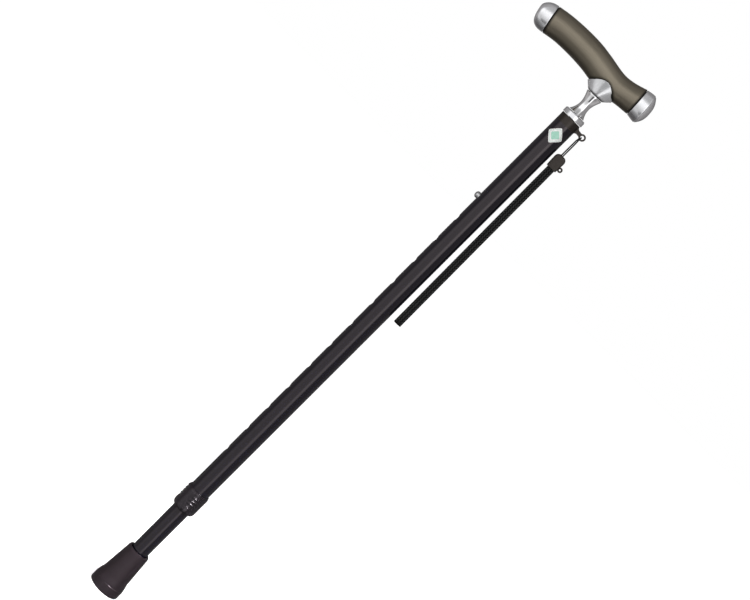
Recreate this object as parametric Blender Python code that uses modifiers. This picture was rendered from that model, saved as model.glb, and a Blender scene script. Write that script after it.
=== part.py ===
"""A telescopic walking stick, pushed together as it is stored.

The shaft stands along +Z with the middle of the rubber tip's tread at the origin. The long nose
of the handle points along -X, the wrist strap hangs at +X, and the label faces -Y.
All lengths are in metres.
"""

from math import cos, pi, radians, sin, sqrt

import bmesh
import bpy
import numpy as np
from mathutils import Vector

# Room between pieces that rest, slide or turn on each other
GAP = 0.0003
LABEL_GAP = 0.00015

# Facets around turned pieces
SHAFT_SIDES = 32
SMALL_SIDES = 20

# Rubber tip
TIP_HEIGHT = 0.0455
TIP_LIP_WALL = 0.0026
TIP_LIP_HEIGHT = 0.0036
TIP_CONE_SPREAD = 0.0020
TIP_CONE_FOOT_HEIGHT = 0.0174
TIP_FLARE_SPREAD = 0.0019
TIP_BAND_HEIGHT = 0.0090
TIP_EDGE_RADIUS = 0.0012
TREAD_THICKNESS = 0.0083
TREAD_LAND = 0.0024
TREAD_GROOVE_COUNT = 3
TREAD_GROOVE_PITCH = 0.0032
TREAD_GROOVE_DEPTH = 0.0010
TREAD_GROOVE_WIDTH = 0.0012
TIP_WASHER_THICKNESS = 0.0012

# Tubes
OUTER_TUBE_RADIUS = 0.0095
OUTER_TUBE_WALL = 0.0012
OUTER_TUBE_LENGTH = 0.4461
INNER_TUBE_WALL = 0.0010
STORED_LEG_SHOWN = 0.0523

# Snap button, its holes and its spring
BUTTON_RADIUS = 0.0030
BUTTON_PROUD = 0.00355
BUTTON_DOME_HEIGHT = 0.0023
BUTTON_BELOW_INNER_TOP = 0.0220
BUTTON_FLANGE_WIDTH = 0.0012
BUTTON_FLANGE_THICKNESS = 0.0010
BUTTON_TAIL_RADIUS = 0.0012
BUTTON_TAIL_LENGTH = 0.0018
FIRST_HOLE_BELOW_OUTER_TOP = 0.0901
HOLE_PITCH = 0.0250
LAST_HOLE_ABOVE_FOOT = 0.0400
SPRING_THICKNESS = 0.0006
SPRING_WIDTH = 0.0070
SPRING_LEAF_ABOVE_BUTTON = 0.0045
SPRING_BACK_ABOVE_BUTTON = 0.0080
SPRING_BEND_BELOW_BUTTON = 0.0185
SPRING_BEND_RADIUS = 0.0022

# Guide plug in the top of the inner tube
GUIDE_FLANGE_HEIGHT = 0.0030
GUIDE_BODY_LENGTH = 0.0100
GUIDE_WALL = 0.0020

# Lock ring and its wedge ring
LOCK_RING_WALL = 0.0012
LOCK_RING_BELOW_TUBE = 0.0087
LOCK_RING_HEIGHT = 0.0221
LOCK_RING_TOP_LAND = 0.0003
LOCK_RING_TOP_CHAMFER = 0.0022
LOCK_RING_FOOT_ROUNDING = 0.0037
LOCK_RING_FOOT_LAND = 0.0006
LOCK_RING_FLOOR = 0.0022
WINDOW_COUNT = 3
WINDOW_ARC = radians(75)
WINDOW_START = radians(-95)
WINDOW_DEPTH = 0.0005
RIB_COUNT = 3
RIB_FIRST = 0.0100
RIB_PITCH = 0.00325
RIB_HEIGHT = 0.0013
WEDGE_FOOT_WALL = 0.0007
WEDGE_STRAIGHT = 0.0022
WEDGE_SLIT = 0.0012

# Shaft plug, strap ring, flange ring and neck
PLUG_DEPTH = 0.0268
SPIGOT_STEP = 0.0011
STRAP_RING_HEIGHT = 0.0072
FLANGE_PROUD = 0.0007
FLANGE_HEIGHT = 0.0049
FLANGE_CHAMFER = 0.0010
NECK_HEIGHT = 0.0208
NECK_LIP_HEIGHT = 0.0011
NECK_TOP_RADIUS = 0.0076
NECK_FOOT_RADIUS = 0.0079
NECK_WAIST_RADIUS = 0.00475
NECK_WAIST_HEIGHT = 0.0098
NECK_TOP_POWER = 1.7
NECK_FOOT_POWER = 2.2

# Bolt, washer and insert
BOLT_RADIUS = 0.0030
BOLT_HEAD_FLATS = 0.0100
BOLT_HEAD_HEIGHT = 0.0040
BOLT_TIP_CHAMFER = 0.0005
BOLT_WASHER_PROUD = 0.0003
BOLT_WASHER_THICKNESS = 0.0012
INSERT_WALL = 0.0012
INSERT_LENGTH = 0.0130
INSERT_ABOVE_COLLAR_FOOT = 0.0080

# Strap ring's lug and eye
LUG_THICKNESS = 0.0024
LUG_ROOT_BELOW_RIM = 0.0004
LUG_ARM_HALF_HEIGHT = 0.0018
LUG_FLARE_LENGTH = 0.0022
EYE_OUT = 0.0075
EYE_DROP = 0.0012
EYE_HOLE_RADIUS = 0.0016
EYE_WALL = 0.0015

# Handle: x, top and bottom above the collar's foot, and half depth, from front to rear
GRIP_STATIONS = (
    (-0.0690, 0.0305, 0.0060, 0.0118),
    (-0.0560, 0.0325, 0.0079, 0.0124),
    (-0.0400, 0.0335, 0.0083, 0.0127),
    (-0.0250, 0.0333, 0.0075, 0.0126),
    (-0.0120, 0.0317, 0.0057, 0.0122),
    (0.0050, 0.0288, 0.0048, 0.0117),
    (0.0160, 0.0296, 0.0065, 0.0117),
    (0.0281, 0.0330, 0.0076, 0.0122),
)
GRIP_FRONT_LEAN = -0.186
GRIP_REAR_LEAN = -0.063
GRIP_SQUARENESS = 2.2
GRIP_RINGS_PER_SPAN = 2
GRIP_SIDES = 32
COVER_THICKNESS = 0.0020

# End caps
CAP_SEAM = 0.0004
CAP_WALL = 0.0014
CAP_PEG_RADIUS = 0.0040
CAP_PEG_DEPTH = 0.0100
CAP_PEG_ROOT_SHARE = 0.75
CAP_RINGS = 7
FRONT_CAP_LENGTH = 0.0129
FRONT_CAP_HEIGHT_POWER = 2.5
FRONT_CAP_DEPTH_POWER = 4
FRONT_CAP_UPTURN = 0.0029
FRONT_CAP_UPTURN_POWER = 12
REAR_CAP_LENGTH = 0.0134
REAR_CAP_DRUM = 0.0080
REAR_CAP_FLARE = 0.0010
REAR_CAP_BULGE = 0.0006
REAR_CAP_DOME_POWER = 2.6
REAR_CAP_DRUM_RINGS = (0.3, 0.65, 1.0)
REAR_CAP_DOME_RINGS = (0.85, 0.65, 0.42, 0.18)

# Saddle collar
COLLAR_FOOT_PROUD = 0.0002
COLLAR_FOOT_WALL = 0.0014
COLLAR_RIM_HALF_WIDTH = 0.0135
COLLAR_RIM_HALF_DEPTH = 0.0129
COLLAR_SIDE_HEIGHT = 0.0051
COLLAR_FRONT_HEIGHT = 0.0144
COLLAR_ARCH_POWER = 1.8
COLLAR_SEAM = 0.0005
COLLAR_ROOF_SHARE = 0.05
BOSS_HEIGHT = 0.0120

# Label: a square turned on its corner
LABEL_SIDE = 0.0114
LABEL_THICKNESS = 0.0002
LABEL_BELOW_OUTER_TOP = 0.0111
LABEL_STEPS = 12

# Wrist strap, heights measured from the middle of the eye
STRING_RADIUS = 0.0006
CLIP_TOP = -0.0216
CLIP_HEIGHT = 0.0138
CLIP_MIDDLE = -0.0004
CLIP_SIDE_WALL = 0.0009
CLIP_FACE_WALL = 0.0009
CLIP_SHOULDER = 0.0038
CLIP_FOOT_CORNER = 0.0008
CLIP_EDGE = 0.0005
CLIP_ROOF = 0.0032
CLIP_LOOP_RADIUS = 0.0023
CLIP_LOOP_HOLE_RADIUS = 0.0008
CLIP_LOOP_THICKNESS = 0.0020
CLIP_LOOP_OUT = 0.0011
CLIP_LOOP_ABOVE_FOOT = 0.0041
KNOT_RADIUS = 0.0012
KNOT_WIDTH = 0.0044
KNOT_Z = -0.0264
STRAP_WIDTH = 0.0074
STRAP_THICKNESS = 0.0014
STRAP_LEAN = radians(0.35)

# Radii that follow from the two tubes
OUTER_TUBE_BORE = OUTER_TUBE_RADIUS - OUTER_TUBE_WALL
INNER_TUBE_RADIUS = OUTER_TUBE_BORE - GAP
INNER_TUBE_BORE = INNER_TUBE_RADIUS - INNER_TUBE_WALL
TIP_BORE = INNER_TUBE_RADIUS + GAP
TIP_CONE_TOP_RADIUS = TIP_BORE + TIP_LIP_WALL
TIP_CONE_FOOT_RADIUS = TIP_CONE_TOP_RADIUS + TIP_CONE_SPREAD
TIP_BASE_RADIUS = TIP_CONE_FOOT_RADIUS + TIP_FLARE_SPREAD
LOCK_RING_BORE = OUTER_TUBE_RADIUS + GAP
LOCK_RING_RADIUS = LOCK_RING_BORE + LOCK_RING_WALL
FLANGE_RADIUS = OUTER_TUBE_RADIUS + FLANGE_PROUD
SPIGOT_RADIUS = OUTER_TUBE_BORE - GAP - SPIGOT_STEP
EYE_REACH = OUTER_TUBE_RADIUS + EYE_OUT
EYE_RADIUS = EYE_HOLE_RADIUS + EYE_WALL

# Heights from the rubber tip up to the handle, with the stick pushed together
INNER_TUBE_BOTTOM = TREAD_THICKNESS + TIP_WASHER_THICKNESS + 2 * GAP
LOCK_RING_BOTTOM = TIP_HEIGHT + STORED_LEG_SHOWN
OUTER_TUBE_BOTTOM = LOCK_RING_BOTTOM + LOCK_RING_BELOW_TUBE
OUTER_TUBE_TOP = OUTER_TUBE_BOTTOM + OUTER_TUBE_LENGTH
BUTTON_Z = OUTER_TUBE_TOP - FIRST_HOLE_BELOW_OUTER_TOP
INNER_TUBE_TOP = BUTTON_Z + BUTTON_BELOW_INNER_TOP
HOLE_ROOM = BUTTON_Z - OUTER_TUBE_BOTTOM - LAST_HOLE_ABOVE_FOOT
HOLE_COUNT = 1 + int(HOLE_ROOM / HOLE_PITCH)
STRAP_RING_BOTTOM = OUTER_TUBE_TOP + GAP
STRAP_RING_TOP = STRAP_RING_BOTTOM + STRAP_RING_HEIGHT
FLANGE_BOTTOM = STRAP_RING_TOP + GAP
FLANGE_TOP = FLANGE_BOTTOM + FLANGE_HEIGHT
NECK_BOTTOM = FLANGE_TOP + GAP
NECK_TOP = NECK_BOTTOM + NECK_HEIGHT
COLLAR_BOTTOM = NECK_TOP + GAP
PLUG_BOTTOM = OUTER_TUBE_TOP - PLUG_DEPTH
INSERT_BOTTOM = COLLAR_BOTTOM + INSERT_ABOVE_COLLAR_FOOT
INSERT_TOP = INSERT_BOTTOM + INSERT_LENGTH
EYE_Z = STRAP_RING_BOTTOM + STRAP_RING_HEIGHT / 2 - EYE_DROP

# Other sizes that follow from a neighbour
BOLT_HOLE_RADIUS = BOLT_RADIUS + GAP
BOLT_HEAD_CORNER = BOLT_HEAD_FLATS / 2 / cos(pi / 6)
BOLT_WASHER_RADIUS = BOLT_HEAD_CORNER + BOLT_WASHER_PROUD
INSERT_RADIUS = BOLT_HOLE_RADIUS + INSERT_WALL
COLLAR_FOOT_RADIUS = NECK_TOP_RADIUS + COLLAR_FOOT_PROUD
BOSS_RADIUS = COLLAR_FOOT_RADIUS - COLLAR_FOOT_WALL - GAP
BUTTON_HOLE_RADIUS = BUTTON_RADIUS + GAP
BUTTON_FLANGE_RADIUS = BUTTON_RADIUS + BUTTON_FLANGE_WIDTH
BUTTON_FLANGE_REACH = sqrt((INNER_TUBE_BORE - GAP) ** 2 - BUTTON_FLANGE_RADIUS**2)
STRAP_ROOM_HALF_WIDTH = STRAP_WIDTH / 2 + 2 * GAP
STRAP_ROOM_HALF_DEPTH = STRAP_THICKNESS + 3 * GAP
CLIP_HALF_WIDTH = STRAP_ROOM_HALF_WIDTH + CLIP_SIDE_WALL
CLIP_THICKNESS = 2 * (STRAP_ROOM_HALF_DEPTH + CLIP_FACE_WALL)
CLIP_FOOT = CLIP_TOP - CLIP_HEIGHT

# Route of the string through the eye, from the knot and back to it, in millimetres from the eye
STRING_ROUTE_MM = (
    (-1.85, 0.0, -24.6),
    (-1.85, 0.0, -21.0),
    (-1.85, -0.2, -17.0),
    (-1.85, -0.5, -12.5),
    (-1.85, -1.1, -8.5),
    (-1.8, -2.0, -5.2),
    (-1.5, -2.4, -3.2),
    (-1.0, -2.25, -1.7),
    (-0.55, -1.4, -0.7),
    (-0.5, 0.0, -0.55),
    (-0.5, 1.4, -0.7),
    (-0.5, 2.25, -1.7),
    (-0.5, 2.4, -3.2),
    (-0.45, 2.0, -5.2),
    (-0.4, 1.1, -8.5),
    (-0.4, 0.5, -12.5),
    (-0.4, 0.2, -17.0),
    (-0.4, 0.0, -21.0),
    (-0.4, 0.0, -24.6),
)

# Route of the wrist strap seen from the side, y and z in millimetres from the eye
STRAP_ROUTE_MM = (
    (-1.05, -28.2),
    (-1.05, -35.0),
    (-1.2, -42.0),
    (-1.6, -54.0),
    (-1.95, -72.0),
    (-2.1, -95.0),
    (-2.0, -120.0),
    (-2.1, -146.0),
    (-2.0, -170.0),
    (-2.1, -190.0),
    (-2.15, -204.0),
    (-2.1, -211.5),
    (-1.35, -214.6),
    (0.0, -215.7),
    (1.35, -214.6),
    (2.1, -211.5),
    (2.15, -204.0),
    (2.0, -190.0),
    (2.1, -170.0),
    (2.0, -146.0),
    (2.1, -120.0),
    (2.0, -95.0),
    (1.95, -72.0),
    (1.6, -54.0),
    (1.2, -42.0),
    (1.05, -35.0),
    (1.05, -28.2),
)


def clear_scene():
    """Removes every object that a new file starts with."""
    for obj in list(bpy.data.objects):
        bpy.data.objects.remove(obj, do_unlink=True)


def collection(name):
    """A new collection in the scene."""
    made = bpy.data.collections.new(name)
    bpy.context.scene.collection.children.link(made)
    return made


clear_scene()
PARTS = collection("telescopic_walking_stick")
CUTTERS = collection("cutters")


def finish(name, colour, roughness, metallic=0.0):
    """A Principled material."""
    material = bpy.data.materials.new(name)
    material.use_nodes = True
    shader = material.node_tree.nodes["Principled BSDF"]
    shader.inputs["Base Color"].default_value = (*colour, 1.0)
    shader.inputs["Roughness"].default_value = roughness
    shader.inputs["Metallic"].default_value = metallic
    return material


SOFT_TOUCH = finish("soft_touch_skin", (0.12, 0.10, 0.075), 0.6)
CORE_PLASTIC = finish("core_plastic", (0.06, 0.06, 0.06), 0.5)
SATIN_METAL = finish("satin_metal", (0.72, 0.72, 0.73), 0.35, 1.0)
BRIGHT_METAL = finish("bright_metal", (0.80, 0.80, 0.80), 0.12, 1.0)
STEEL = finish("steel", (0.55, 0.55, 0.56), 0.3, 1.0)
BRASS = finish("brass", (0.65, 0.48, 0.20), 0.3, 1.0)
BLACK_TUBE = finish("black_tube", (0.012, 0.012, 0.015), 0.25, 0.3)
BLACK_PLASTIC = finish("black_plastic", (0.015, 0.014, 0.014), 0.4)
CLIP_PLASTIC = finish("clip_plastic", (0.035, 0.030, 0.027), 0.5)
RUBBER = finish("rubber", (0.018, 0.014, 0.014), 0.7)
CORD = finish("cord", (0.012, 0.012, 0.012), 0.9)
WHITE_LABEL = finish("white_label", (0.85, 0.85, 0.85), 0.4)


def add(name, data, material=None, location=(0, 0, 0), parent=None):
    """Puts a mesh, a curve or an empty in the parts collection as one named object."""
    obj = bpy.data.objects.new(name, data)
    PARTS.objects.link(obj)
    obj.location = location
    obj.parent = parent
    if material:
        data.materials.append(material)
    return obj


def joint(name, location=(0, 0, 0), parent=None):
    """An empty on a joint's axis. The pieces that move there are its children."""
    return add(name, None, location=location, parent=parent)


def turned(name, profile, material=None, closed=False, sides=SHAFT_SIDES, **place):
    """A turned piece. The profile is (radius, height) points that run down the outer side."""
    mesh = bpy.data.meshes.new(name)
    edges = [(i, i + 1) for i in range(len(profile) - 1)]
    if closed:
        edges.append((len(profile) - 1, 0))
    mesh.from_pydata([(radius, 0, height) for radius, height in profile], edges, [])
    obj = add(name, mesh, material, **place)
    screw = obj.modifiers.new("Turn", "SCREW")
    screw.steps = sides
    screw.render_steps = sides
    screw.use_merge_vertices = True
    screw.merge_threshold = 0.00001
    screw.use_smooth_shade = True
    return obj


def as_cutter(obj):
    """Moves an object to the cutters, drawn as wires and left out of renders."""
    PARTS.objects.unlink(obj)
    CUTTERS.objects.link(obj)
    obj.display_type = "WIRE"
    obj.hide_render = True
    return obj


def boolean(obj, tool, operation):
    """Cuts or joins an object with another, which becomes a cutter."""
    modifier = obj.modifiers.new(tool.name, "BOOLEAN")
    modifier.operation = operation
    modifier.object = as_cutter(tool)


def cut(obj, tool):
    """Cuts the tool out of the object."""
    boolean(obj, tool, "DIFFERENCE")


def join(obj, tool):
    """Makes the tool a part of the object."""
    boolean(obj, tool, "UNION")


def curve_as_mesh(obj):
    """The same shape as a welded mesh, so that it can be cut."""
    bpy.context.view_layer.update()
    evaluated = obj.evaluated_get(bpy.context.evaluated_depsgraph_get())
    mesh = bpy.data.meshes.new_from_object(evaluated)
    bm = bmesh.new()
    bm.from_mesh(mesh)
    bmesh.ops.remove_doubles(bm, verts=bm.verts, dist=0.000001)
    bmesh.ops.recalc_face_normals(bm, faces=bm.faces)
    bm.to_mesh(mesh)
    bm.free()
    name = obj.name
    obj.name = name + "_curve"
    made = bpy.data.objects.new(name, mesh)
    PARTS.objects.link(made)
    made.parent = obj.parent
    made.matrix_world = obj.matrix_world
    bpy.data.objects.remove(obj, do_unlink=True)
    return made


def plane_curve(name, outline, cyclic):
    """A 2D curve with straight stretches between points in x and y."""
    curve = bpy.data.curves.new(name, "CURVE")
    curve.dimensions = "2D"
    spline = curve.splines.new("POLY")
    spline.points.add(len(outline) - 1)
    for point, (x, y) in zip(spline.points, outline):
        point.co = (x, y, 0, 1)
    spline.use_cyclic_u = cyclic
    return curve


def plate(name, outline, thickness, material=None, edge=0.0, **place):
    """A flat plate with a closed outline in x and y, thick along z, its edges rounded."""
    curve = plane_curve(name, outline, True)
    curve.fill_mode = "BOTH"
    curve.extrude = thickness / 2 - edge
    curve.bevel_depth = edge
    curve.bevel_resolution = 1
    curve.offset = -edge
    return curve_as_mesh(add(name, curve, material, **place))


def ribbon(name, path, width, thickness, material, rotation, **place):
    """A flat strip: a path in x and y, wide along z, with its wall from Solidify."""
    curve = plane_curve(name, path, False)
    curve.fill_mode = "NONE"
    curve.extrude = width / 2
    obj = add(name, curve, material, **place)
    obj.rotation_euler = rotation
    wall = obj.modifiers.new("Wall", "SOLIDIFY")
    wall.thickness = thickness
    wall.offset = 0
    return curve_as_mesh(obj)


def bar(name, radius, start, end, sides=SMALL_SIDES):
    """A plain round bar between two points, for cuts and joins."""
    along = Vector(end) - Vector(start)
    bpy.ops.mesh.primitive_cylinder_add(vertices=sides, radius=radius, depth=along.length)
    return place_primitive(name, (Vector(start) + Vector(end)) / 2, along)


def place_primitive(name, location, up=Vector((0, 0, 1))):
    """Names the primitive just made, puts it with the parts and turns its z along up."""
    obj = bpy.context.object
    obj.name = name
    for owner in list(obj.users_collection):
        owner.objects.unlink(obj)
    PARTS.objects.link(obj)
    obj.location = location
    obj.rotation_euler = up.to_track_quat("Z", "Y").to_euler()
    return obj


def box(name, size, centre):
    """A plain box, for cuts."""
    bpy.ops.mesh.primitive_cube_add(size=1)
    obj = place_primitive(name, centre)
    obj.scale = size
    return obj


def arc(centre, radius, start, end, steps):
    """Points on an arc, both ends included."""
    return [
        (centre[0] + radius * cos(a), centre[1] + radius * sin(a))
        for a in np.linspace(start, end, steps + 1)
    ]


def smooth_curve(points, per_span):
    """A Catmull-Rom curve through the points, with the same number of steps in each span."""
    points = np.array(points, float)
    padded = np.vstack([2 * points[0] - points[1], points, 2 * points[-1] - points[-2]])
    t = np.linspace(0, 1, per_span, endpoint=False)[:, None]
    spans = []
    for a, b, c, d in zip(padded, padded[1:], padded[2:], padded[3:]):
        square = 2 * a - 5 * b + 4 * c - d
        cube = 3 * b - a - 3 * c + d
        spans.append((2 * b + (c - a) * t + square * t**2 + cube * t**3) / 2)
    return np.vstack([*spans, points[-1:]])


def loft(name, rings, material=None, loop=False, **place):
    """Skins rings of equally many points. A loop joins the last ring to the first, as in a tube
    with a wall, and otherwise each end closes on its middle point."""
    rings = np.array(rings)
    count, sides = rings.shape[:2]
    points = [tuple(p) for p in rings.reshape(-1, 3)]
    faces = []
    for i in range(count if loop else count - 1):
        here = i * sides
        there = (i + 1) % count * sides
        for j in range(sides):
            k = (j + 1) % sides
            faces.append((here + j, here + k, there + k, there + j))
    if not loop:
        for end in (0, count - 1):
            points.append(tuple(rings[end].mean(axis=0)))
            for j in range(sides):
                faces.append((end * sides + j, end * sides + (j + 1) % sides, len(points) - 1))
    mesh = bpy.data.meshes.new(name)
    mesh.from_pydata(points, [], faces)
    bm = bmesh.new()
    bm.from_mesh(mesh)
    bmesh.ops.recalc_face_normals(bm, faces=bm.faces)
    bm.to_mesh(mesh)
    bm.free()
    mesh.shade_smooth()
    return add(name, mesh, material, **place)


# Handle


def oval(x, middle, half_height, half_depth, lean):
    """One upright ring of the handle: a rounded oval whose top leans along x."""
    angles = np.arange(GRIP_SIDES) * 2 * pi / GRIP_SIDES
    power = 2 / GRIP_SQUARENESS
    y = half_depth * np.sign(np.cos(angles)) * np.abs(np.cos(angles)) ** power
    z = half_height * np.sign(np.sin(angles)) * np.abs(np.sin(angles)) ** power
    return np.column_stack([x + lean * z, y, middle + z])


def grip_sections():
    """The handle's sections from front to rear: x, middle, half height, half depth and lean."""
    x, top, bottom, depth = smooth_curve(GRIP_STATIONS, GRIP_RINGS_PER_SPAN).T
    share = (x - x[0]) / (x[-1] - x[0])
    lean = GRIP_FRONT_LEAN + (GRIP_REAR_LEAN - GRIP_FRONT_LEAN) * share
    return np.column_stack([x, (top + bottom) / 2, (top - bottom) / 2, depth, lean])


def grip_rings(inset):
    """Rings of the grip's surface moved inwards."""
    return [
        oval(x, middle, height - inset, depth - inset, lean)
        for x, middle, height, depth, lean in grip_sections()
    ]


def collar_rings():
    """The collar's outside, a straight flare from a circle to an arched rim, with a roof."""
    angles = np.arange(GRIP_SIDES) * 2 * pi / GRIP_SIDES
    along = np.cos(angles)
    across = np.sin(angles)
    climb = 1 - np.abs(along) ** COLLAR_ARCH_POWER
    height = COLLAR_SIDE_HEIGHT + (COLLAR_FRONT_HEIGHT - COLLAR_SIDE_HEIGHT) * climb
    foot = COLLAR_FOOT_RADIUS * np.column_stack([along, across, 0 * along])
    rim = np.column_stack([COLLAR_RIM_HALF_WIDTH * along, COLLAR_RIM_HALF_DEPTH * across, height])
    roof = rim * (COLLAR_ROOF_SHARE, COLLAR_ROOF_SHARE, 0) + (0, 0, COLLAR_FRONT_HEIGHT)
    return [foot, rim, roof]


def front_cap_rings(inset, start):
    """The front cap from its open side, which starts that far out from the grip's end: the
    grip's oval shrinks to a dome, square to the leaned end, whose tip turns up. Height and
    depth each follow an oval with its own power, so the dome is blunter seen from above."""
    x, middle, height, depth, lean = grip_sections()[0]
    rings = [oval(x - start, middle, height - inset, depth - inset, lean)]
    for turn in np.linspace(0.08, 0.97, CAP_RINGS) * pi / 2:
        out = sin(turn)
        reach = (FRONT_CAP_LENGTH - inset) * out
        centre = middle + lean * reach + FRONT_CAP_UPTURN * out**FRONT_CAP_UPTURN_POWER
        tall = (height - inset) * (1 - out**FRONT_CAP_HEIGHT_POWER) ** (1 / FRONT_CAP_HEIGHT_POWER)
        wide = (depth - inset) * (1 - out**FRONT_CAP_DEPTH_POWER) ** (1 / FRONT_CAP_DEPTH_POWER)
        rings.append(oval(x - CAP_SEAM - reach, centre, tall, wide, lean))
    return rings


def rear_cap_rings(inset, start):
    """The rear cap from its open side, which starts that far out from the grip's end: a drum
    that flares a little, a crease and a low dome."""
    x, middle, height, depth, lean = grip_sections()[-1]
    rings = [oval(x + start, middle, height - inset, depth - inset, lean)]
    for share in REAR_CAP_DRUM_RINGS:
        flare = REAR_CAP_FLARE * sin(share * pi / 2) - inset
        face = x + CAP_SEAM + REAR_CAP_DRUM * share - inset * share
        drum = oval(face, middle, height + flare, depth + flare, lean)
        drum[:, 0] += REAR_CAP_BULGE * share * (drum[:, 1] / (depth + flare)) ** 2
        rings.append(drum)
    for size in REAR_CAP_DOME_RINGS:
        rise = (REAR_CAP_LENGTH - REAR_CAP_DRUM) * (1 - size**REAR_CAP_DOME_POWER)
        dome = oval(face + rise, middle, (height + flare) * size, (depth + flare) * size, lean)
        dome[:, 0] += REAR_CAP_BULGE * (dome[:, 1] / (depth + flare)) ** 2
        rings.append(dome)
    return rings


def bolt_hole(name, bottom, top):
    """Room for the bolt between two heights."""
    return bar(name, BOLT_HOLE_RADIUS, (0, 0, bottom), (0, 0, top))


def grip_cover():
    """The skin, open at both ends, with a hole for the core's boss."""
    rings = grip_rings(0) + grip_rings(COVER_THICKNESS)[::-1]
    cover = loft("grip_cover", rings, SOFT_TOUCH, loop=True, location=(0, 0, COLLAR_BOTTOM))
    top = COLLAR_BOTTOM + BOSS_HEIGHT
    cut(cover, bar("boss_room", BOSS_RADIUS + GAP, (0, 0, COLLAR_BOTTOM - GAP), (0, 0, top)))


def handle_core():
    """The core with its boss, and holes for the caps' pegs, the insert and the bolt."""
    rings = grip_rings(COVER_THICKNESS + GAP)
    core = loft("handle_core", rings, CORE_PLASTIC, location=(0, 0, COLLAR_BOTTOM))
    top = COLLAR_BOTTOM + BOSS_HEIGHT
    join(core, bar("boss", BOSS_RADIUS, (0, 0, COLLAR_BOTTOM), (0, 0, top)))
    for name, section, inwards in (
        ("front_peg_hole", grip_sections()[0], 1),
        ("rear_peg_hole", grip_sections()[-1], -1),
    ):
        z = COLLAR_BOTTOM + section[1]
        outside = section[0] - inwards * CAP_PEG_RADIUS
        inside = section[0] + inwards * (CAP_PEG_DEPTH + GAP)
        cut(core, bar(name, CAP_PEG_RADIUS + GAP, (outside, 0, z), (inside, 0, z)))
    room = INSERT_RADIUS + GAP
    cut(core, bar("insert_room", room, (0, 0, INSERT_BOTTOM - GAP), (0, 0, INSERT_TOP + GAP)))
    cut(core, bolt_hole("core_bolt_hole", COLLAR_BOTTOM - GAP, INSERT_BOTTOM))


def end_cap(name, rings_of, section, length, inwards):
    """A hollow cap with a peg that runs into the core."""
    place = {"location": (0, 0, COLLAR_BOTTOM)}
    cap = loft(name, rings_of(0, CAP_SEAM), SATIN_METAL, **place)
    cut(cap, loft(name + "_hollow", rings_of(CAP_WALL, -CAP_SEAM), **place))
    z = COLLAR_BOTTOM + section[1]
    root = section[0] - inwards * (CAP_SEAM + length - CAP_PEG_ROOT_SHARE * CAP_WALL)
    end = section[0] + inwards * CAP_PEG_DEPTH
    join(cap, bar(name + "_peg", CAP_PEG_RADIUS, (root, 0, z), (end, 0, z)))


def saddle_collar():
    """The collar, hollowed for the boss and cut along the grip with an open seam."""
    place = {"location": (0, 0, COLLAR_BOTTOM)}
    collar = loft("saddle_collar", collar_rings(), SATIN_METAL, **place)
    cut(collar, loft("collar_seam", grip_rings(-COLLAR_SEAM), **place))
    top = COLLAR_BOTTOM + BOSS_HEIGHT
    cut(collar, bar("collar_bore", BOSS_RADIUS + GAP, (0, 0, COLLAR_BOTTOM - GAP), (0, 0, top)))


def core_insert():
    """The threaded insert, drawn without its thread."""
    outside = [(INSERT_RADIUS, INSERT_TOP), (INSERT_RADIUS, INSERT_BOTTOM)]
    bore = [(BOLT_HOLE_RADIUS, INSERT_BOTTOM), (BOLT_HOLE_RADIUS, INSERT_TOP)]
    turned("core_insert", outside + bore, BRASS, closed=True, sides=SMALL_SIDES)


def neck_stem():
    """The waisted neck: a late flare above its foot and an early one up to the lip."""
    above = NECK_HEIGHT - NECK_LIP_HEIGHT - NECK_WAIST_HEIGHT
    profile = [(NECK_TOP_RADIUS, NECK_HEIGHT)]
    for share in np.linspace(1, 0, 7):
        spread = (NECK_TOP_RADIUS - NECK_WAIST_RADIUS) * share**NECK_TOP_POWER
        radius = NECK_WAIST_RADIUS + spread
        profile.append((radius, NECK_WAIST_HEIGHT + above * share))
    for share in (0.25, 0.45, 0.65, 0.83, 1):
        spread = (NECK_FOOT_RADIUS - NECK_WAIST_RADIUS) * share**NECK_FOOT_POWER
        radius = NECK_WAIST_RADIUS + spread
        profile.append((radius, NECK_WAIST_HEIGHT * (1 - share)))
    profile += [(BOLT_HOLE_RADIUS, 0), (BOLT_HOLE_RADIUS, NECK_HEIGHT)]
    turned("neck_stem", profile, BRIGHT_METAL, closed=True, location=(0, 0, NECK_BOTTOM))


def flange_ring():
    """The ring under the neck, its upper edge bevelled."""
    profile = [
        (FLANGE_RADIUS - FLANGE_CHAMFER, FLANGE_HEIGHT),
        (FLANGE_RADIUS, FLANGE_HEIGHT - FLANGE_CHAMFER),
        (FLANGE_RADIUS, GAP),
        (FLANGE_RADIUS - GAP, 0),
        (BOLT_HOLE_RADIUS, 0),
        (BOLT_HOLE_RADIUS, FLANGE_HEIGHT),
    ]
    turned("flange_ring", profile, SATIN_METAL, closed=True, location=(0, 0, FLANGE_BOTTOM))


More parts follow.
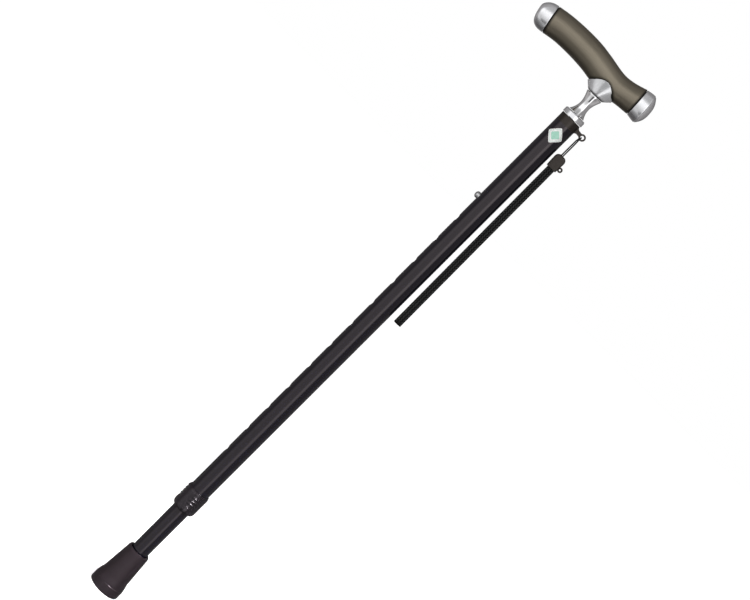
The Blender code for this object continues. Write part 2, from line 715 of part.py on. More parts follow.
def handle_bolt():
    """The hexagon bolt from inside the outer tube up to the insert, and its washer."""
    washer_bottom = PLUG_BOTTOM - GAP - BOLT_WASHER_THICKNESS
    head_top = washer_bottom - GAP
    head_bottom = head_top - BOLT_HEAD_HEIGHT
    middle = (head_top + head_bottom) / 2
    tip = INSERT_TOP - BOLT_WASHER_THICKNESS
    profile = [
        (0, tip),
        (BOLT_RADIUS - BOLT_TIP_CHAMFER, tip),
        (BOLT_RADIUS, tip - BOLT_TIP_CHAMFER),
        (BOLT_RADIUS, middle),
        (0, middle),
    ]
    bolt = turned("handle_bolt", profile, STEEL, sides=SMALL_SIDES)
    ends = ((0, 0, head_bottom), (0, 0, head_top))
    join(bolt, bar("hexagon", BOLT_HEAD_CORNER, *ends, sides=6))
    outside = [(BOLT_WASHER_RADIUS, BOLT_WASHER_THICKNESS), (BOLT_WASHER_RADIUS, 0)]
    bore = [(BOLT_HOLE_RADIUS, 0), (BOLT_HOLE_RADIUS, BOLT_WASHER_THICKNESS)]
    place = {"location": (0, 0, washer_bottom), "sides": SMALL_SIDES}
    turned("bolt_washer", outside + bore, STEEL, closed=True, **place)


handle_core()
grip_cover()
end_cap("front_end_cap", front_cap_rings, grip_sections()[0], FRONT_CAP_LENGTH, 1)
end_cap("rear_end_cap", rear_cap_rings, grip_sections()[-1], REAR_CAP_LENGTH, -1)
saddle_collar()
core_insert()
neck_stem()
flange_ring()
handle_bolt()


# Upper shaft


def button_hole(name, z, count=1):
    """A round hole through the left wall, or a row of them downwards at the hole pitch. The bar
    lies along x with its own y axis up, so the row runs along -y."""
    start = (-OUTER_TUBE_RADIUS - BUTTON_PROUD, 0, z)
    hole = bar(name, BUTTON_HOLE_RADIUS, start, (-INNER_TUBE_BORE / 2, 0, z))
    if count > 1:
        row = hole.modifiers.new("Row", "ARRAY")
        row.use_relative_offset = False
        row.use_constant_offset = True
        row.constant_offset_displace = (0, -HOLE_PITCH, 0)
        row.count = count
    return hole


def outer_tube():
    """The upper tube with its row of holes."""
    outside = [(OUTER_TUBE_RADIUS, OUTER_TUBE_TOP), (OUTER_TUBE_RADIUS, OUTER_TUBE_BOTTOM)]
    bore = [(OUTER_TUBE_BORE, OUTER_TUBE_BOTTOM), (OUTER_TUBE_BORE, OUTER_TUBE_TOP)]
    tube = turned("outer_tube", outside + bore, BLACK_TUBE, closed=True)
    cut(tube, button_hole("height_holes", BUTTON_Z, HOLE_COUNT))


def shaft_plug():
    """The plug in the top of the outer tube. The strap ring turns on its spigot."""
    body = OUTER_TUBE_BORE - GAP
    profile = [
        (SPIGOT_RADIUS, STRAP_RING_TOP),
        (SPIGOT_RADIUS, OUTER_TUBE_TOP),
        (body, OUTER_TUBE_TOP),
        (body, PLUG_BOTTOM),
        (BOLT_HOLE_RADIUS, PLUG_BOTTOM),
        (BOLT_HOLE_RADIUS, STRAP_RING_TOP),
    ]
    turned("shaft_plug", profile, CORE_PLASTIC, closed=True)


def label():
    """The square label on its corner, wrapped on the front of the tube."""
    half = LABEL_SIDE / sqrt(2)
    inside = OUTER_TUBE_RADIUS + LABEL_GAP
    outside = inside + LABEL_THICKNESS
    rings = []
    for across in np.linspace(-0.96, 0.96, LABEL_STEPS + 1) * half:
        angle = across / outside
        reach = half - abs(across)
        section = ((outside, reach), (outside, -reach), (inside, -reach), (inside, reach))
        rings.append([(r * sin(angle), -r * cos(angle), z) for r, z in section])
    location = (0, 0, OUTER_TUBE_TOP - LABEL_BELOW_OUTER_TOP)
    made = loft("label", rings, WHITE_LABEL, location=location)
    made.data.shade_flat()


outer_tube()
shaft_plug()
label()


# Lock ring and wedge ring

CLAMP = joint("clamp_axis", (0, 0, LOCK_RING_BOTTOM))
WEDGE_BOTTOM = LOCK_RING_FLOOR + GAP
WEDGE_TOP = LOCK_RING_BELOW_TUBE - GAP
WEDGE_SHOULDER = WEDGE_TOP - WEDGE_STRAIGHT


def groove(name, start):
    """The four grooves above and below the ribs of one window."""
    outside = LOCK_RING_RADIUS + WINDOW_DEPTH
    floor = LOCK_RING_RADIUS - WINDOW_DEPTH
    end = start + WINDOW_ARC
    outline = arc((0, 0), floor, start, end, 6) + arc((0, 0), outside, end, start, 6)
    z = LOCK_RING_BOTTOM + RIB_FIRST - RIB_PITCH / 2
    cutter = plate(name, outline, RIB_PITCH - RIB_HEIGHT, location=(0, 0, z))
    row = cutter.modifiers.new("Row", "ARRAY")
    row.use_relative_offset = False
    row.use_constant_offset = True
    row.constant_offset_displace = (0, 0, RIB_PITCH)
    row.count = RIB_COUNT + 1
    return cutter


def lock_ring():
    """The ring nut: rounded foot, chamfered top, a taper inside for the wedge ring."""
    foot_radius = INNER_TUBE_RADIUS + GAP + LOCK_RING_FOOT_LAND
    rounding = LOCK_RING_RADIUS - foot_radius
    profile = [
        (LOCK_RING_BORE + LOCK_RING_TOP_LAND, LOCK_RING_HEIGHT),
        (LOCK_RING_RADIUS, LOCK_RING_HEIGHT - LOCK_RING_TOP_CHAMFER),
    ]
    for turn in np.linspace(1, 0, 5) * pi / 2:
        height = LOCK_RING_FOOT_ROUNDING * (1 - cos(turn))
        profile.append((foot_radius + rounding * sin(turn), height))
    profile += [
        (INNER_TUBE_RADIUS + GAP, 0),
        (INNER_TUBE_RADIUS + GAP, LOCK_RING_FLOOR),
        (INNER_TUBE_RADIUS + 2 * GAP + WEDGE_FOOT_WALL, LOCK_RING_FLOOR),
        (LOCK_RING_BORE, WEDGE_SHOULDER),
        (LOCK_RING_BORE, LOCK_RING_HEIGHT),
    ]
    nut = turned("lock_ring", profile, BLACK_PLASTIC, closed=True, parent=CLAMP)
    for i in range(WINDOW_COUNT):
        cut(nut, groove(f"grooves_{i}", WINDOW_START + i * 2 * pi / WINDOW_COUNT))


def clamp_wedge():
    """The slit ring between the lock ring's taper and the end of the outer tube."""
    bore = INNER_TUBE_RADIUS + GAP
    profile = [
        (LOCK_RING_BORE - GAP, WEDGE_TOP),
        (LOCK_RING_BORE - GAP, WEDGE_SHOULDER),
        (bore + WEDGE_FOOT_WALL, WEDGE_BOTTOM),
        (bore, WEDGE_BOTTOM),
        (bore, WEDGE_TOP),
    ]
    wedge = turned("clamp_wedge", profile, CORE_PLASTIC, closed=True, parent=CLAMP)
    middle = (WEDGE_BOTTOM + WEDGE_TOP) / 2
    size = (INNER_TUBE_RADIUS, WEDGE_SLIT, 2 * WEDGE_TOP)
    cut(wedge, box("wedge_slit", size, (INNER_TUBE_RADIUS, 0, LOCK_RING_BOTTOM + middle)))


lock_ring()
clamp_wedge()


# Lower leg

LEG = joint("leg_axis")
BUTTON = joint("button_axis", (0, 0, BUTTON_Z), parent=LEG)


def inner_tube():
    """The lower tube with one hole for the button."""
    outside = [(INNER_TUBE_RADIUS, INNER_TUBE_TOP), (INNER_TUBE_RADIUS, INNER_TUBE_BOTTOM)]
    bore = [(INNER_TUBE_BORE, INNER_TUBE_BOTTOM), (INNER_TUBE_BORE, INNER_TUBE_TOP)]
    tube = turned("inner_tube", outside + bore, BLACK_TUBE, closed=True, parent=LEG)
    cut(tube, button_hole("inner_hole", BUTTON_Z))


def guide_plug():
    """The bush that keeps the top of the inner tube from rattling."""
    bottom = INNER_TUBE_TOP - GUIDE_BODY_LENGTH
    step = INNER_TUBE_TOP + GAP
    top = step + GUIDE_FLANGE_HEIGHT
    body = INNER_TUBE_BORE - GAP
    profile = [
        (INNER_TUBE_RADIUS - GAP, top),
        (INNER_TUBE_RADIUS, top - GAP),
        (INNER_TUBE_RADIUS, step),
        (body, step),
        (body, bottom),
        (body - GUIDE_WALL, bottom),
        (body - GUIDE_WALL, top),
    ]
    turned("guide_plug", profile, CORE_PLASTIC, closed=True, parent=LEG)


def snap_button():
    """The domed button with the flange that holds it in the tube and a tail for the spring."""
    tip = OUTER_TUBE_RADIUS + BUTTON_PROUD
    shoulder = tip - BUTTON_DOME_HEIGHT
    back = BUTTON_FLANGE_REACH - BUTTON_FLANGE_THICKNESS
    profile = [(0, tip)]
    for turn in np.linspace(0.8, 0, 4) * pi / 2:
        profile.append((BUTTON_RADIUS * cos(turn), shoulder + BUTTON_DOME_HEIGHT * sin(turn)))
    profile += [
        (BUTTON_RADIUS, BUTTON_FLANGE_REACH),
        (BUTTON_FLANGE_RADIUS, BUTTON_FLANGE_REACH),
        (BUTTON_FLANGE_RADIUS, back),
        (BUTTON_TAIL_RADIUS, back),
        (BUTTON_TAIL_RADIUS, back - BUTTON_TAIL_LENGTH),
        (0, back - BUTTON_TAIL_LENGTH),
    ]
    button = turned("snap_button", profile, STEEL, sides=SMALL_SIDES, parent=BUTTON)
    button.rotation_euler = (0, -pi / 2, 0)


def button_spring():
    """The folded leaf: one leaf on the button, a bend below it, one leaf on the far wall."""
    leaf_x = -(BUTTON_FLANGE_REACH - BUTTON_FLANGE_THICKNESS - GAP - SPRING_THICKNESS / 2)
    wall = sqrt((INNER_TUBE_BORE - GAP) ** 2 - (SPRING_WIDTH / 2) ** 2)
    back_x = wall - SPRING_THICKNESS / 2
    bend = ((leaf_x + back_x) / 2, -SPRING_BEND_BELOW_BUTTON)
    path = [(leaf_x, SPRING_LEAF_ABOVE_BUTTON), (leaf_x, -SPRING_LEAF_ABOVE_BUTTON)]
    path += arc(bend, SPRING_BEND_RADIUS, pi, 2 * pi, 8)
    path += [(back_x, -SPRING_LEAF_ABOVE_BUTTON), (back_x, SPRING_BACK_ABOVE_BUTTON)]
    spring = ribbon(
        "button_spring",
        path,
        SPRING_WIDTH,
        SPRING_THICKNESS,
        STEEL,
        (pi / 2, 0, 0),
        location=(0, 0, BUTTON_Z),
        parent=LEG,
    )
    room = BUTTON_TAIL_RADIUS + GAP
    cut(spring, bar("tail_hole", room, (2 * leaf_x, 0, BUTTON_Z), (0, 0, BUTTON_Z)))


def rubber_tip():
    """The rubber foot: grooved tread, straight band, flare, cone and a thick rounded lip."""
    lip = TIP_HEIGHT - TIP_LIP_HEIGHT
    lip_centre = (TIP_BORE + TIP_CONE_TOP_RADIUS) / 2
    lip_half = TIP_LIP_WALL / 2
    profile = [(0, TREAD_THICKNESS), (TIP_BORE, TREAD_THICKNESS)]
    for turn in np.linspace(1, 0, 9) * pi:
        profile.append((lip_centre + lip_half * cos(turn), lip + TIP_LIP_HEIGHT * sin(turn)))
    profile.append((TIP_CONE_FOOT_RADIUS, TIP_CONE_FOOT_HEIGHT))
    for share in (0.8, 0.6, 0.4, 0.2):
        flare = TIP_CONE_FOOT_RADIUS + TIP_FLARE_SPREAD * (1 + cos(share * pi)) / 2
        height = TIP_BAND_HEIGHT + (TIP_CONE_FOOT_HEIGHT - TIP_BAND_HEIGHT) * share
        profile.append((flare, height))
    profile.append((TIP_BASE_RADIUS, TIP_BAND_HEIGHT))
    edge = TIP_BASE_RADIUS - TIP_EDGE_RADIUS
    profile += arc((edge, TIP_EDGE_RADIUS), TIP_EDGE_RADIUS, 0, -pi / 2, 3)
    for i in range(TREAD_GROOVE_COUNT):
        radius = edge - TREAD_LAND - i * TREAD_GROOVE_PITCH
        profile += [
            (radius + TREAD_GROOVE_WIDTH / 2, 0),
            (radius + TREAD_GROOVE_WIDTH / 2, TREAD_GROOVE_DEPTH),
            (radius - TREAD_GROOVE_WIDTH / 2, TREAD_GROOVE_DEPTH),
            (radius - TREAD_GROOVE_WIDTH / 2, 0),
        ]
    profile.append((0, 0))
    turned("rubber_tip", profile, RUBBER, parent=LEG)


def tip_washer():
    """The steel disc that keeps the tube from cutting through the rubber."""
    bottom = TREAD_THICKNESS + GAP
    profile = [
        (0, bottom + TIP_WASHER_THICKNESS),
        (INNER_TUBE_RADIUS, bottom + TIP_WASHER_THICKNESS),
        (INNER_TUBE_RADIUS, bottom),
        (0, bottom),
    ]
    turned("tip_washer", profile, STEEL, parent=LEG)


inner_tube()
guide_plug()
snap_button()
button_spring()
rubber_tip()
tip_washer()


# Strap ring and wrist strap

STRAP_TURN = joint("strap_turn_axis", (0, 0, STRAP_RING_BOTTOM))
STRAP_SWING = joint("strap_swing_axis", (EYE_REACH, 0, EYE_Z - STRAP_RING_BOTTOM), parent=STRAP_TURN)


def strap_ring():
    """The ring that turns on the spigot, with a flat lug that ends in an eye."""
    outside = [(OUTER_TUBE_RADIUS, STRAP_RING_HEIGHT), (OUTER_TUBE_RADIUS, 0)]
    bore = [(SPIGOT_RADIUS + GAP, 0), (SPIGOT_RADIUS + GAP, STRAP_RING_HEIGHT)]
    made = turned("strap_ring", outside + bore, BLACK_PLASTIC, closed=True, parent=STRAP_TURN)
    root = (OUTER_TUBE_RADIUS + SPIGOT_RADIUS + GAP) / 2
    root_half = STRAP_RING_HEIGHT / 2 - LUG_ROOT_BELOW_RIM
    outline_top = [(root, root_half)]
    outline_foot = [(root, -root_half)]
    for share in (0, 0.25, 0.55, 1):
        x = OUTER_TUBE_RADIUS + LUG_FLARE_LENGTH * share
        half = LUG_ARM_HALF_HEIGHT + (root_half - LUG_ARM_HALF_HEIGHT) * (1 - share) ** 2
        drop = EYE_DROP * (x - OUTER_TUBE_RADIUS) / (EYE_REACH - OUTER_TUBE_RADIUS)
        outline_top.append((x, half - drop))
        outline_foot.append((x, -half - drop))
    eye = arc((EYE_REACH, -EYE_DROP), EYE_RADIUS, radians(140), radians(-140), 20)
    outline = outline_top + eye + outline_foot[::-1]
    lug = plate("lug", outline, LUG_THICKNESS, edge=GAP)
    lug.rotation_euler = (pi / 2, 0, 0)
    lug.location = (0, 0, STRAP_RING_BOTTOM + STRAP_RING_HEIGHT / 2)
    join(made, lug)
    start = (EYE_REACH, -LUG_THICKNESS, EYE_Z)
    cut(made, bar("eye_hole", EYE_HOLE_RADIUS, start, (EYE_REACH, LUG_THICKNESS, EYE_Z)))


def strap_string():
    """The thin string through the eye."""
    points = smooth_curve(STRING_ROUTE_MM, 3) / 1000
    curve = bpy.data.curves.new("strap_string", "CURVE")
    curve.dimensions = "3D"
    curve.bevel_depth = STRING_RADIUS
    curve.bevel_resolution = 2
    curve.use_fill_caps = True
    spline = curve.splines.new("POLY")
    spline.points.add(len(points) - 1)
    for point, place in zip(spline.points, points):
        point.co = (*place, 1)
    add("strap_string", curve, CORD, parent=STRAP_SWING)


def string_knot():
    """The knot inside the clip, a short rounded bar."""
    half = KNOT_WIDTH / 2
    profile = [(0, half)]
    for turn in np.linspace(0.75, 0, 3) * pi / 2:
        profile.append((KNOT_RADIUS * cos(turn), half - KNOT_RADIUS * (1 - sin(turn))))
    profile += [(radius, -height) for radius, height in profile[::-1]]
    middle = (STRING_ROUTE_MM[0][0] + STRING_ROUTE_MM[-1][0]) / 2000
    knot = turned("string_knot", profile, CORD, sides=12, parent=STRAP_SWING)
    knot.location = (middle, 0, KNOT_Z)
    knot.rotation_euler = (0, pi / 2, 0)


def strap_clip():
    """The end piece: a flat shell with round shoulders, open below, with a small side eyelet."""
    across = CLIP_HALF_WIDTH - CLIP_SHOULDER
    low = CLIP_HALF_WIDTH - CLIP_FOOT_CORNER
    foot = CLIP_FOOT + CLIP_FOOT_CORNER
    outline = arc((across, CLIP_TOP - CLIP_SHOULDER), CLIP_SHOULDER, pi / 2, 0, 5)
    outline += arc((low, foot), CLIP_FOOT_CORNER, 0, -pi / 2, 2)
    outline += [(-x, y) for x, y in outline[::-1]]
    clip = plate("strap_clip", outline, CLIP_THICKNESS, CLIP_PLASTIC, edge=CLIP_EDGE)
    clip.parent = STRAP_SWING
    clip.location = (CLIP_MIDDLE, 0, 0)
    clip.rotation_euler = (pi / 2, 0, 0)
    middle = EYE_REACH + CLIP_MIDDLE
    loop_x = middle + CLIP_HALF_WIDTH + CLIP_LOOP_OUT
    loop_z = EYE_Z + CLIP_FOOT + CLIP_LOOP_ABOVE_FOOT
    for name, radius, reach, use in (
        ("clip_eyelet", CLIP_LOOP_RADIUS, CLIP_LOOP_THICKNESS / 2, join),
        ("clip_eyelet_hole", CLIP_LOOP_HOLE_RADIUS, CLIP_LOOP_THICKNESS, cut),
    ):
        use(clip, bar(name, radius, (loop_x, -reach, loop_z), (loop_x, reach, loop_z)))
    strap_room = (2 * STRAP_ROOM_HALF_WIDTH, 2 * STRAP_ROOM_HALF_DEPTH, CLIP_HEIGHT)
    room_middle = EYE_Z + CLIP_TOP - CLIP_ROOF - CLIP_HEIGHT / 2
    cut(clip, box("strap_room", strap_room, (middle, 0, room_middle)))
    string_middle = EYE_REACH + (STRING_ROUTE_MM[0][0] + STRING_ROUTE_MM[-1][0]) / 2000
    string_spread = (STRING_ROUTE_MM[-1][0] - STRING_ROUTE_MM[0][0]) / 1000
    string_room = 2 * (STRING_RADIUS + GAP)
    slot = (string_spread + string_room, string_room, 3 * CLIP_ROOF)
    cut(clip, box("string_slot", slot, (string_middle, 0, EYE_Z + CLIP_TOP)))


def wrist_strap():
    """The braid, one long strip folded at its foot, both ends in the clip."""
    path = smooth_curve(STRAP_ROUTE_MM, 2) / 1000
    turn = (pi / 2 - STRAP_LEAN, 0, pi / 2)
    place = {"location": (CLIP_MIDDLE - STRAP_LEAN * CLIP_HEIGHT, 0, 0), "parent": STRAP_SWING}
    ribbon("wrist_strap", path, STRAP_WIDTH, STRAP_THICKNESS, CORD, turn, **place)


strap_ring()
strap_string()
string_knot()
strap_clip()
wrist_strap()
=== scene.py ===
"""The looks of a telescopic walking stick, pushed together and standing on a white studio floor.

The nose of its handle points along -X, the wrist strap hangs at +X and the label faces -Y.
Lengths are in metres, except in the two routes in millimetres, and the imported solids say
where each piece is.
"""

from math import cos, pi, radians, sin, sqrt, tan

import bpy
import numpy as np
from mathutils import Matrix, Vector


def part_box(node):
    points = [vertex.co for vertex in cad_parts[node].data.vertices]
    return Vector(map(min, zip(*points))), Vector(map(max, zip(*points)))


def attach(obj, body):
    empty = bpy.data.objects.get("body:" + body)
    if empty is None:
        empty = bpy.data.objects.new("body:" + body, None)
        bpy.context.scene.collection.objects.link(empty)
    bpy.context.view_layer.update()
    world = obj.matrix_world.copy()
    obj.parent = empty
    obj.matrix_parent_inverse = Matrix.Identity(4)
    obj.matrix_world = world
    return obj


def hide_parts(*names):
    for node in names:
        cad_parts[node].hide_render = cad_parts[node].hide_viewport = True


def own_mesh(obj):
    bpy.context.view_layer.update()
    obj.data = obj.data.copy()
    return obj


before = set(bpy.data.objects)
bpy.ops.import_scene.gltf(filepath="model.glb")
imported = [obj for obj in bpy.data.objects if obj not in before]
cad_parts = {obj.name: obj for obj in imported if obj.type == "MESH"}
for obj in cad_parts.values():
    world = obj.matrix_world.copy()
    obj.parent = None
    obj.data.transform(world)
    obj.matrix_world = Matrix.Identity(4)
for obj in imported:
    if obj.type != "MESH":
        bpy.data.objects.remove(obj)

SCENE = bpy.context.scene
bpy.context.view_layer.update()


# Camera
# It stands in front of the stick at the height of the strap ring, looks a little down, and is
# rolled by an eighth of a turn, so that the stick leans across the picture.

CAMERA_PLACE = Vector((-0.0091, -1.60, 0.5631))
CAMERA_DOWN = radians(7.92)
CAMERA_ROLL = radians(44.96)
CAMERA_LENS = 93.4  # millimetres, on a picture 36 mm wide

forward = Vector((0, cos(CAMERA_DOWN), -sin(CAMERA_DOWN)))
upright = Vector((0, sin(CAMERA_DOWN), cos(CAMERA_DOWN)))
aside = Vector((1, 0, 0))
picture_right = aside * cos(CAMERA_ROLL) + upright * sin(CAMERA_ROLL)
picture_up = upright * cos(CAMERA_ROLL) - aside * sin(CAMERA_ROLL)
picture_axes = Matrix((picture_right, picture_up, -forward))
camera = bpy.data.objects.new("camera", bpy.data.cameras.new("camera"))
camera.data.lens = CAMERA_LENS
camera.matrix_world = Matrix.Translation(CAMERA_PLACE) @ picture_axes.transposed().to_4x4()
SCENE.collection.objects.link(camera)
SCENE.camera = camera
SCENE.view_settings.view_transform = "Standard"


# Studio
# A white floor and a white surround. What is polished sees a wide soft panel in front of the
# stick, with a brighter strip at its right, a faint one at its left and a dark camera stand low
# in its middle, and grey walls. A broad lamp lights the front, and a narrow beam the foot.

FLOOR_SIZE = 12.0
FLOOR_COLOUR = 0.20
FLOOR_TO_CAMERA = 0.80
FLOOR_GLOW = 0.72
FRONT_LEVELS = (  # sine of the elevation, level of the panel
    (-1.00, 0.12), (-0.93, 0.17), (-0.84, 0.34), (-0.72, 0.66), (-0.60, 0.76), (-0.40, 0.66),
    (-0.22, 0.80), (-0.08, 1.00), (0.08, 1.30), (0.38, 1.34), (0.48, 1.05), (0.58, 0.62),
    (0.70, 0.48), (0.84, 0.42), (1.00, 0.38),
)
WALL_LEVELS = (  # the same for the walls
    (-1.00, 0.12), (-0.72, 0.20), (-0.58, 0.38), (-0.42, 0.50), (-0.26, 0.32), (0.70, 0.30),
    (1.00, 0.38),
)
WALL_TINT = (1.0, 0.97, 0.97)
BACK_LEVEL = 0.55
BACK_BEARINGS = (110, 150)  # degrees to either side, between which the walls fade to that level
PANEL_BEARINGS = (-76, -56, 34, 44)  # degrees: fades in between the first two, out between the last
STRIP_BEARINGS = (9, 19, 33, 42)
STRIP_GAIN = 1.0
FAINT_BEARINGS = (-52, -47, -42, -37)
FAINT_GAIN = 0.22
PATCH_BEARINGS = (-15, -9, 15, 21)
PATCH_SINES = (-0.80, -0.74, -0.50, -0.43)
PATCH_DARKNESS = 0.85
KEY_SIZE = (0.8, 0.8)
KEY_POWER = 10.0
KEY_PLACE = Vector((-0.35, -1.55, 1.25))
KEY_TARGET = Vector((0, 0, 0.45))
GLINT_SIZE = (1.2, 0.14)
GLINT_POWER = 0.8
GLINT_BEAM = radians(15)
GLINT_PLACE = Vector((0.75, -0.75, 1.75))
GLINT_TARGET = Vector((0, 0, 0.05))


def nodes_of(owner):
    """The node tree of a new material or world, emptied, with its output node."""
    owner.use_nodes = True
    tree = owner.node_tree
    tree.nodes.clear()
    kind = "ShaderNodeOutputWorld" if isinstance(owner, bpy.types.World) else "ShaderNodeOutputMaterial"
    return tree, tree.nodes.new(kind)


def feed(tree, socket, value):
    """Sets an input of a node, or links another node's socket to it."""
    if isinstance(value, bpy.types.NodeSocket):
        tree.links.new(value, socket)
    else:
        socket.default_value = value


def node(tree, kind, values=None, **settings):
    """Adds a shader node. Values fill its inputs by name or number, with a number, a colour or
    another node's socket, and settings are its own properties."""
    made = tree.nodes.new("ShaderNode" + kind)
    for key, value in settings.items():
        setattr(made, key, value)
    for key, value in (values or {}).items():
        feed(tree, made.inputs[key], value)
    return made


def ramp(tree, factor, stops):
    """A colour ramp over the stops, which are (place, grey level or colour)."""
    made = node(tree, "ValToRGB", {"Fac": factor})
    elements = made.color_ramp.elements
    while len(elements) < len(stops):
        elements.new(0.5)
    for element, (place, colour) in zip(elements, stops):
        element.position = place
        element.color = (*colour, 1) if isinstance(colour, tuple) else (colour, colour, colour, 1)
    return made.outputs["Color"]


def maths(tree, operation, a, b=0.0, c=0.0):
    """One step of arithmetic."""
    return node(tree, "Math", {0: a, 1: b, 2: c}, operation=operation).outputs[0]


def mixed(tree, share, first, second):
    """The first colour where the share is 0, and the second where it is 1."""
    values = {0: share}
    for key, colour in ((6, first), (7, second)):
        values[key] = (*colour, 1) if isinstance(colour, tuple) else colour
    return node(tree, "Mix", values, data_type="RGBA").outputs[2]


def scaled(tree, colour, factor):
    """A colour times a factor."""
    return node(tree, "VectorMath", {0: colour, 3: factor}, operation="SCALE").outputs[0]


def window(tree, value, edges):
    """A factor that rises from 0 to 1 between the first two edges and falls between the last."""
    first, second, third, fourth = edges
    rise = node(tree, "MapRange", {0: value, 1: first, 2: second}, interpolation_type="SMOOTHSTEP")
    fall = node(tree, "MapRange", {0: value, 1: third, 2: fourth}, interpolation_type="SMOOTHSTEP")
    return maths(tree, "SUBTRACT", rise.outputs[0], fall.outputs[0])


def studio_world():
    """White to the camera. Everything else sees a panel within a range of bearings in front of
    the stick, which fades with the elevation, and walls and a dark floor beyond it. A bearing
    is 0 in front of the stick, above 0 on the right, and 180 degrees behind it."""
    world = bpy.data.worlds.new("studio")
    tree, output = nodes_of(world)
    direction = node(tree, "TexCoord").outputs["Generated"]
    axes = node(tree, "SeparateXYZ", {0: direction}).outputs
    towards = maths(tree, "MULTIPLY", axes["Y"], -1)
    bearing = maths(tree, "MULTIPLY", maths(tree, "ARCTAN2", axes["X"], towards), 180 / pi)
    height = maths(tree, "MULTIPLY_ADD", axes["Z"], 0.5, 0.5)
    front = ramp(tree, height, [(0.5 + sine / 2, level) for sine, level in FRONT_LEVELS])
    tinted = [(0.5 + sine / 2, tuple(level * t for t in WALL_TINT)) for sine, level in WALL_LEVELS]
    turned_away = maths(tree, "ABSOLUTE", bearing)
    start, end = BACK_BEARINGS
    behind = node(tree, "MapRange", {0: turned_away, 1: start, 2: end, 3: 1, 4: BACK_LEVEL})
    walls = scaled(tree, ramp(tree, height, tinted), behind.outputs[0])
    panel = window(tree, bearing, PANEL_BEARINGS)
    gain = maths(tree, "MULTIPLY_ADD", window(tree, bearing, STRIP_BEARINGS), STRIP_GAIN, 1)
    gain = maths(tree, "MULTIPLY_ADD", window(tree, bearing, FAINT_BEARINGS), FAINT_GAIN, gain)
    stand_across = window(tree, bearing, PATCH_BEARINGS)
    stand = maths(tree, "MULTIPLY", stand_across, window(tree, axes["Z"], PATCH_SINES))
    gain = maths(tree, "MULTIPLY", gain, maths(tree, "MULTIPLY_ADD", stand, -PATCH_DARKNESS, 1))
    seen = mixed(tree, panel, walls, scaled(tree, front, gain))
    around = node(tree, "Background", {"Color": seen, "Strength": 1.0})
    white = node(tree, "Background", {"Color": (1, 1, 1, 1), "Strength": 1.0})
    to_camera = node(tree, "LightPath").outputs["Is Camera Ray"]
    either = node(tree, "MixShader", {0: to_camera, 1: around.outputs[0], 2: white.outputs[0]})
    tree.links.new(either.outputs[0], output.inputs[0])
    SCENE.world = world


def studio_floor():
    """A level floor, grey to the stick and white to the camera, which still sees the shadow.
    It stays under the foot when the leg is drawn out."""
    half = FLOOR_SIZE / 2
    corners = [(-half, -half, 0), (half, -half, 0), (half, half, 0), (-half, half, 0)]
    mesh = bpy.data.meshes.new("studio_floor")
    mesh.from_pydata(corners, [], [(0, 1, 2, 3)])
    floor = bpy.data.objects.new("studio_floor", mesh)
    SCENE.collection.objects.link(floor)
    material = bpy.data.materials.new("studio_floor")
    tree, output = nodes_of(material)
    grey = node(tree, "BsdfDiffuse", {"Color": (FLOOR_COLOUR, FLOOR_COLOUR, FLOOR_COLOUR, 1)})
    pale_colour = (FLOOR_TO_CAMERA, FLOOR_TO_CAMERA, FLOOR_TO_CAMERA, 1)
    pale = node(tree, "BsdfDiffuse", {"Color": pale_colour})
    glow = node(tree, "Emission", {"Color": (1, 1, 1, 1), "Strength": FLOOR_GLOW})
    white = node(tree, "AddShader", {0: pale.outputs[0], 1: glow.outputs[0]})
    to_camera = node(tree, "LightPath").outputs["Is Camera Ray"]
    either = node(tree, "MixShader", {0: to_camera, 1: grey.outputs[0], 2: white.outputs[0]})
    tree.links.new(either.outputs[0], output.inputs[0])
    mesh.materials.append(material)
    floor.visible_glossy = False
    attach(floor, "lower_leg")


def soft_lamp(name, place, target, size, power, beam, mirrored):
    """An oval panel lamp with a beam of some width, mirrored in polished parts or not."""
    lamp = bpy.data.lights.new(name, "AREA")
    lamp.shape = "ELLIPSE"
    lamp.size, lamp.size_y = size
    lamp.energy = power
    lamp.spread = beam
    obj = bpy.data.objects.new(name, lamp)
    obj.location = place
    obj.rotation_mode = "QUATERNION"
    obj.rotation_quaternion = (target - place).to_track_quat("-Z", "Y")
    SCENE.collection.objects.link(obj)
    obj.visible_glossy = mirrored


studio_world()
studio_floor()
soft_lamp("key", KEY_PLACE, KEY_TARGET, KEY_SIZE, KEY_POWER, pi, False)
soft_lamp("glint", GLINT_PLACE, GLINT_TARGET, GLINT_SIZE, GLINT_POWER, GLINT_BEAM, True)


# Soft-touch skin of the handle
# A rubber-like coat on a hollow moulding, brown-grey and dull, swollen for the palm and drawn in
# where the fingers go round the shaft. It is pushed over the core before the end caps go on.

HANDLE_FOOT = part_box("saddle_collar")[0].z
GRIP_STATIONS = (  # x, top and bottom above the collar's foot, and half depth
    (-0.0690, 0.0305, 0.0060, 0.0118),
    (-0.0560, 0.0325, 0.0079, 0.0124),
    (-0.0400, 0.0335, 0.0083, 0.0127),
    (-0.0250, 0.0333, 0.0075, 0.0126),
    (-0.0120, 0.0317, 0.0057, 0.0122),
    (0.0050, 0.0288, 0.0048, 0.0117),
    (0.0160, 0.0296, 0.0065, 0.0117),
    (0.0281, 0.0330, 0.0076, 0.0122),
)
GRIP_LEAN = (-0.186, -0.063)  # shift along x for each metre of height, front and rear
GRIP_SQUARENESS = 2.2
GRIP_THICKNESS = 0.0020
GRIP_EDGE = 0.0010
GRIP_SIDES = 144
GRIP_RINGS_PER_SPAN = 24
BOSS_ROOM = 0.0064
BOSS_CUT = (0.012, -0.001)  # from and to, above the collar's foot
BOSS_SIDES = 48
COLLAR_RIM_HALF_WIDTH = 0.0135  # the collar's arched rim, which the skin dips under
COLLAR_RIM_HALF_DEPTH = 0.0129
COLLAR_SIDE_HEIGHT = 0.0051
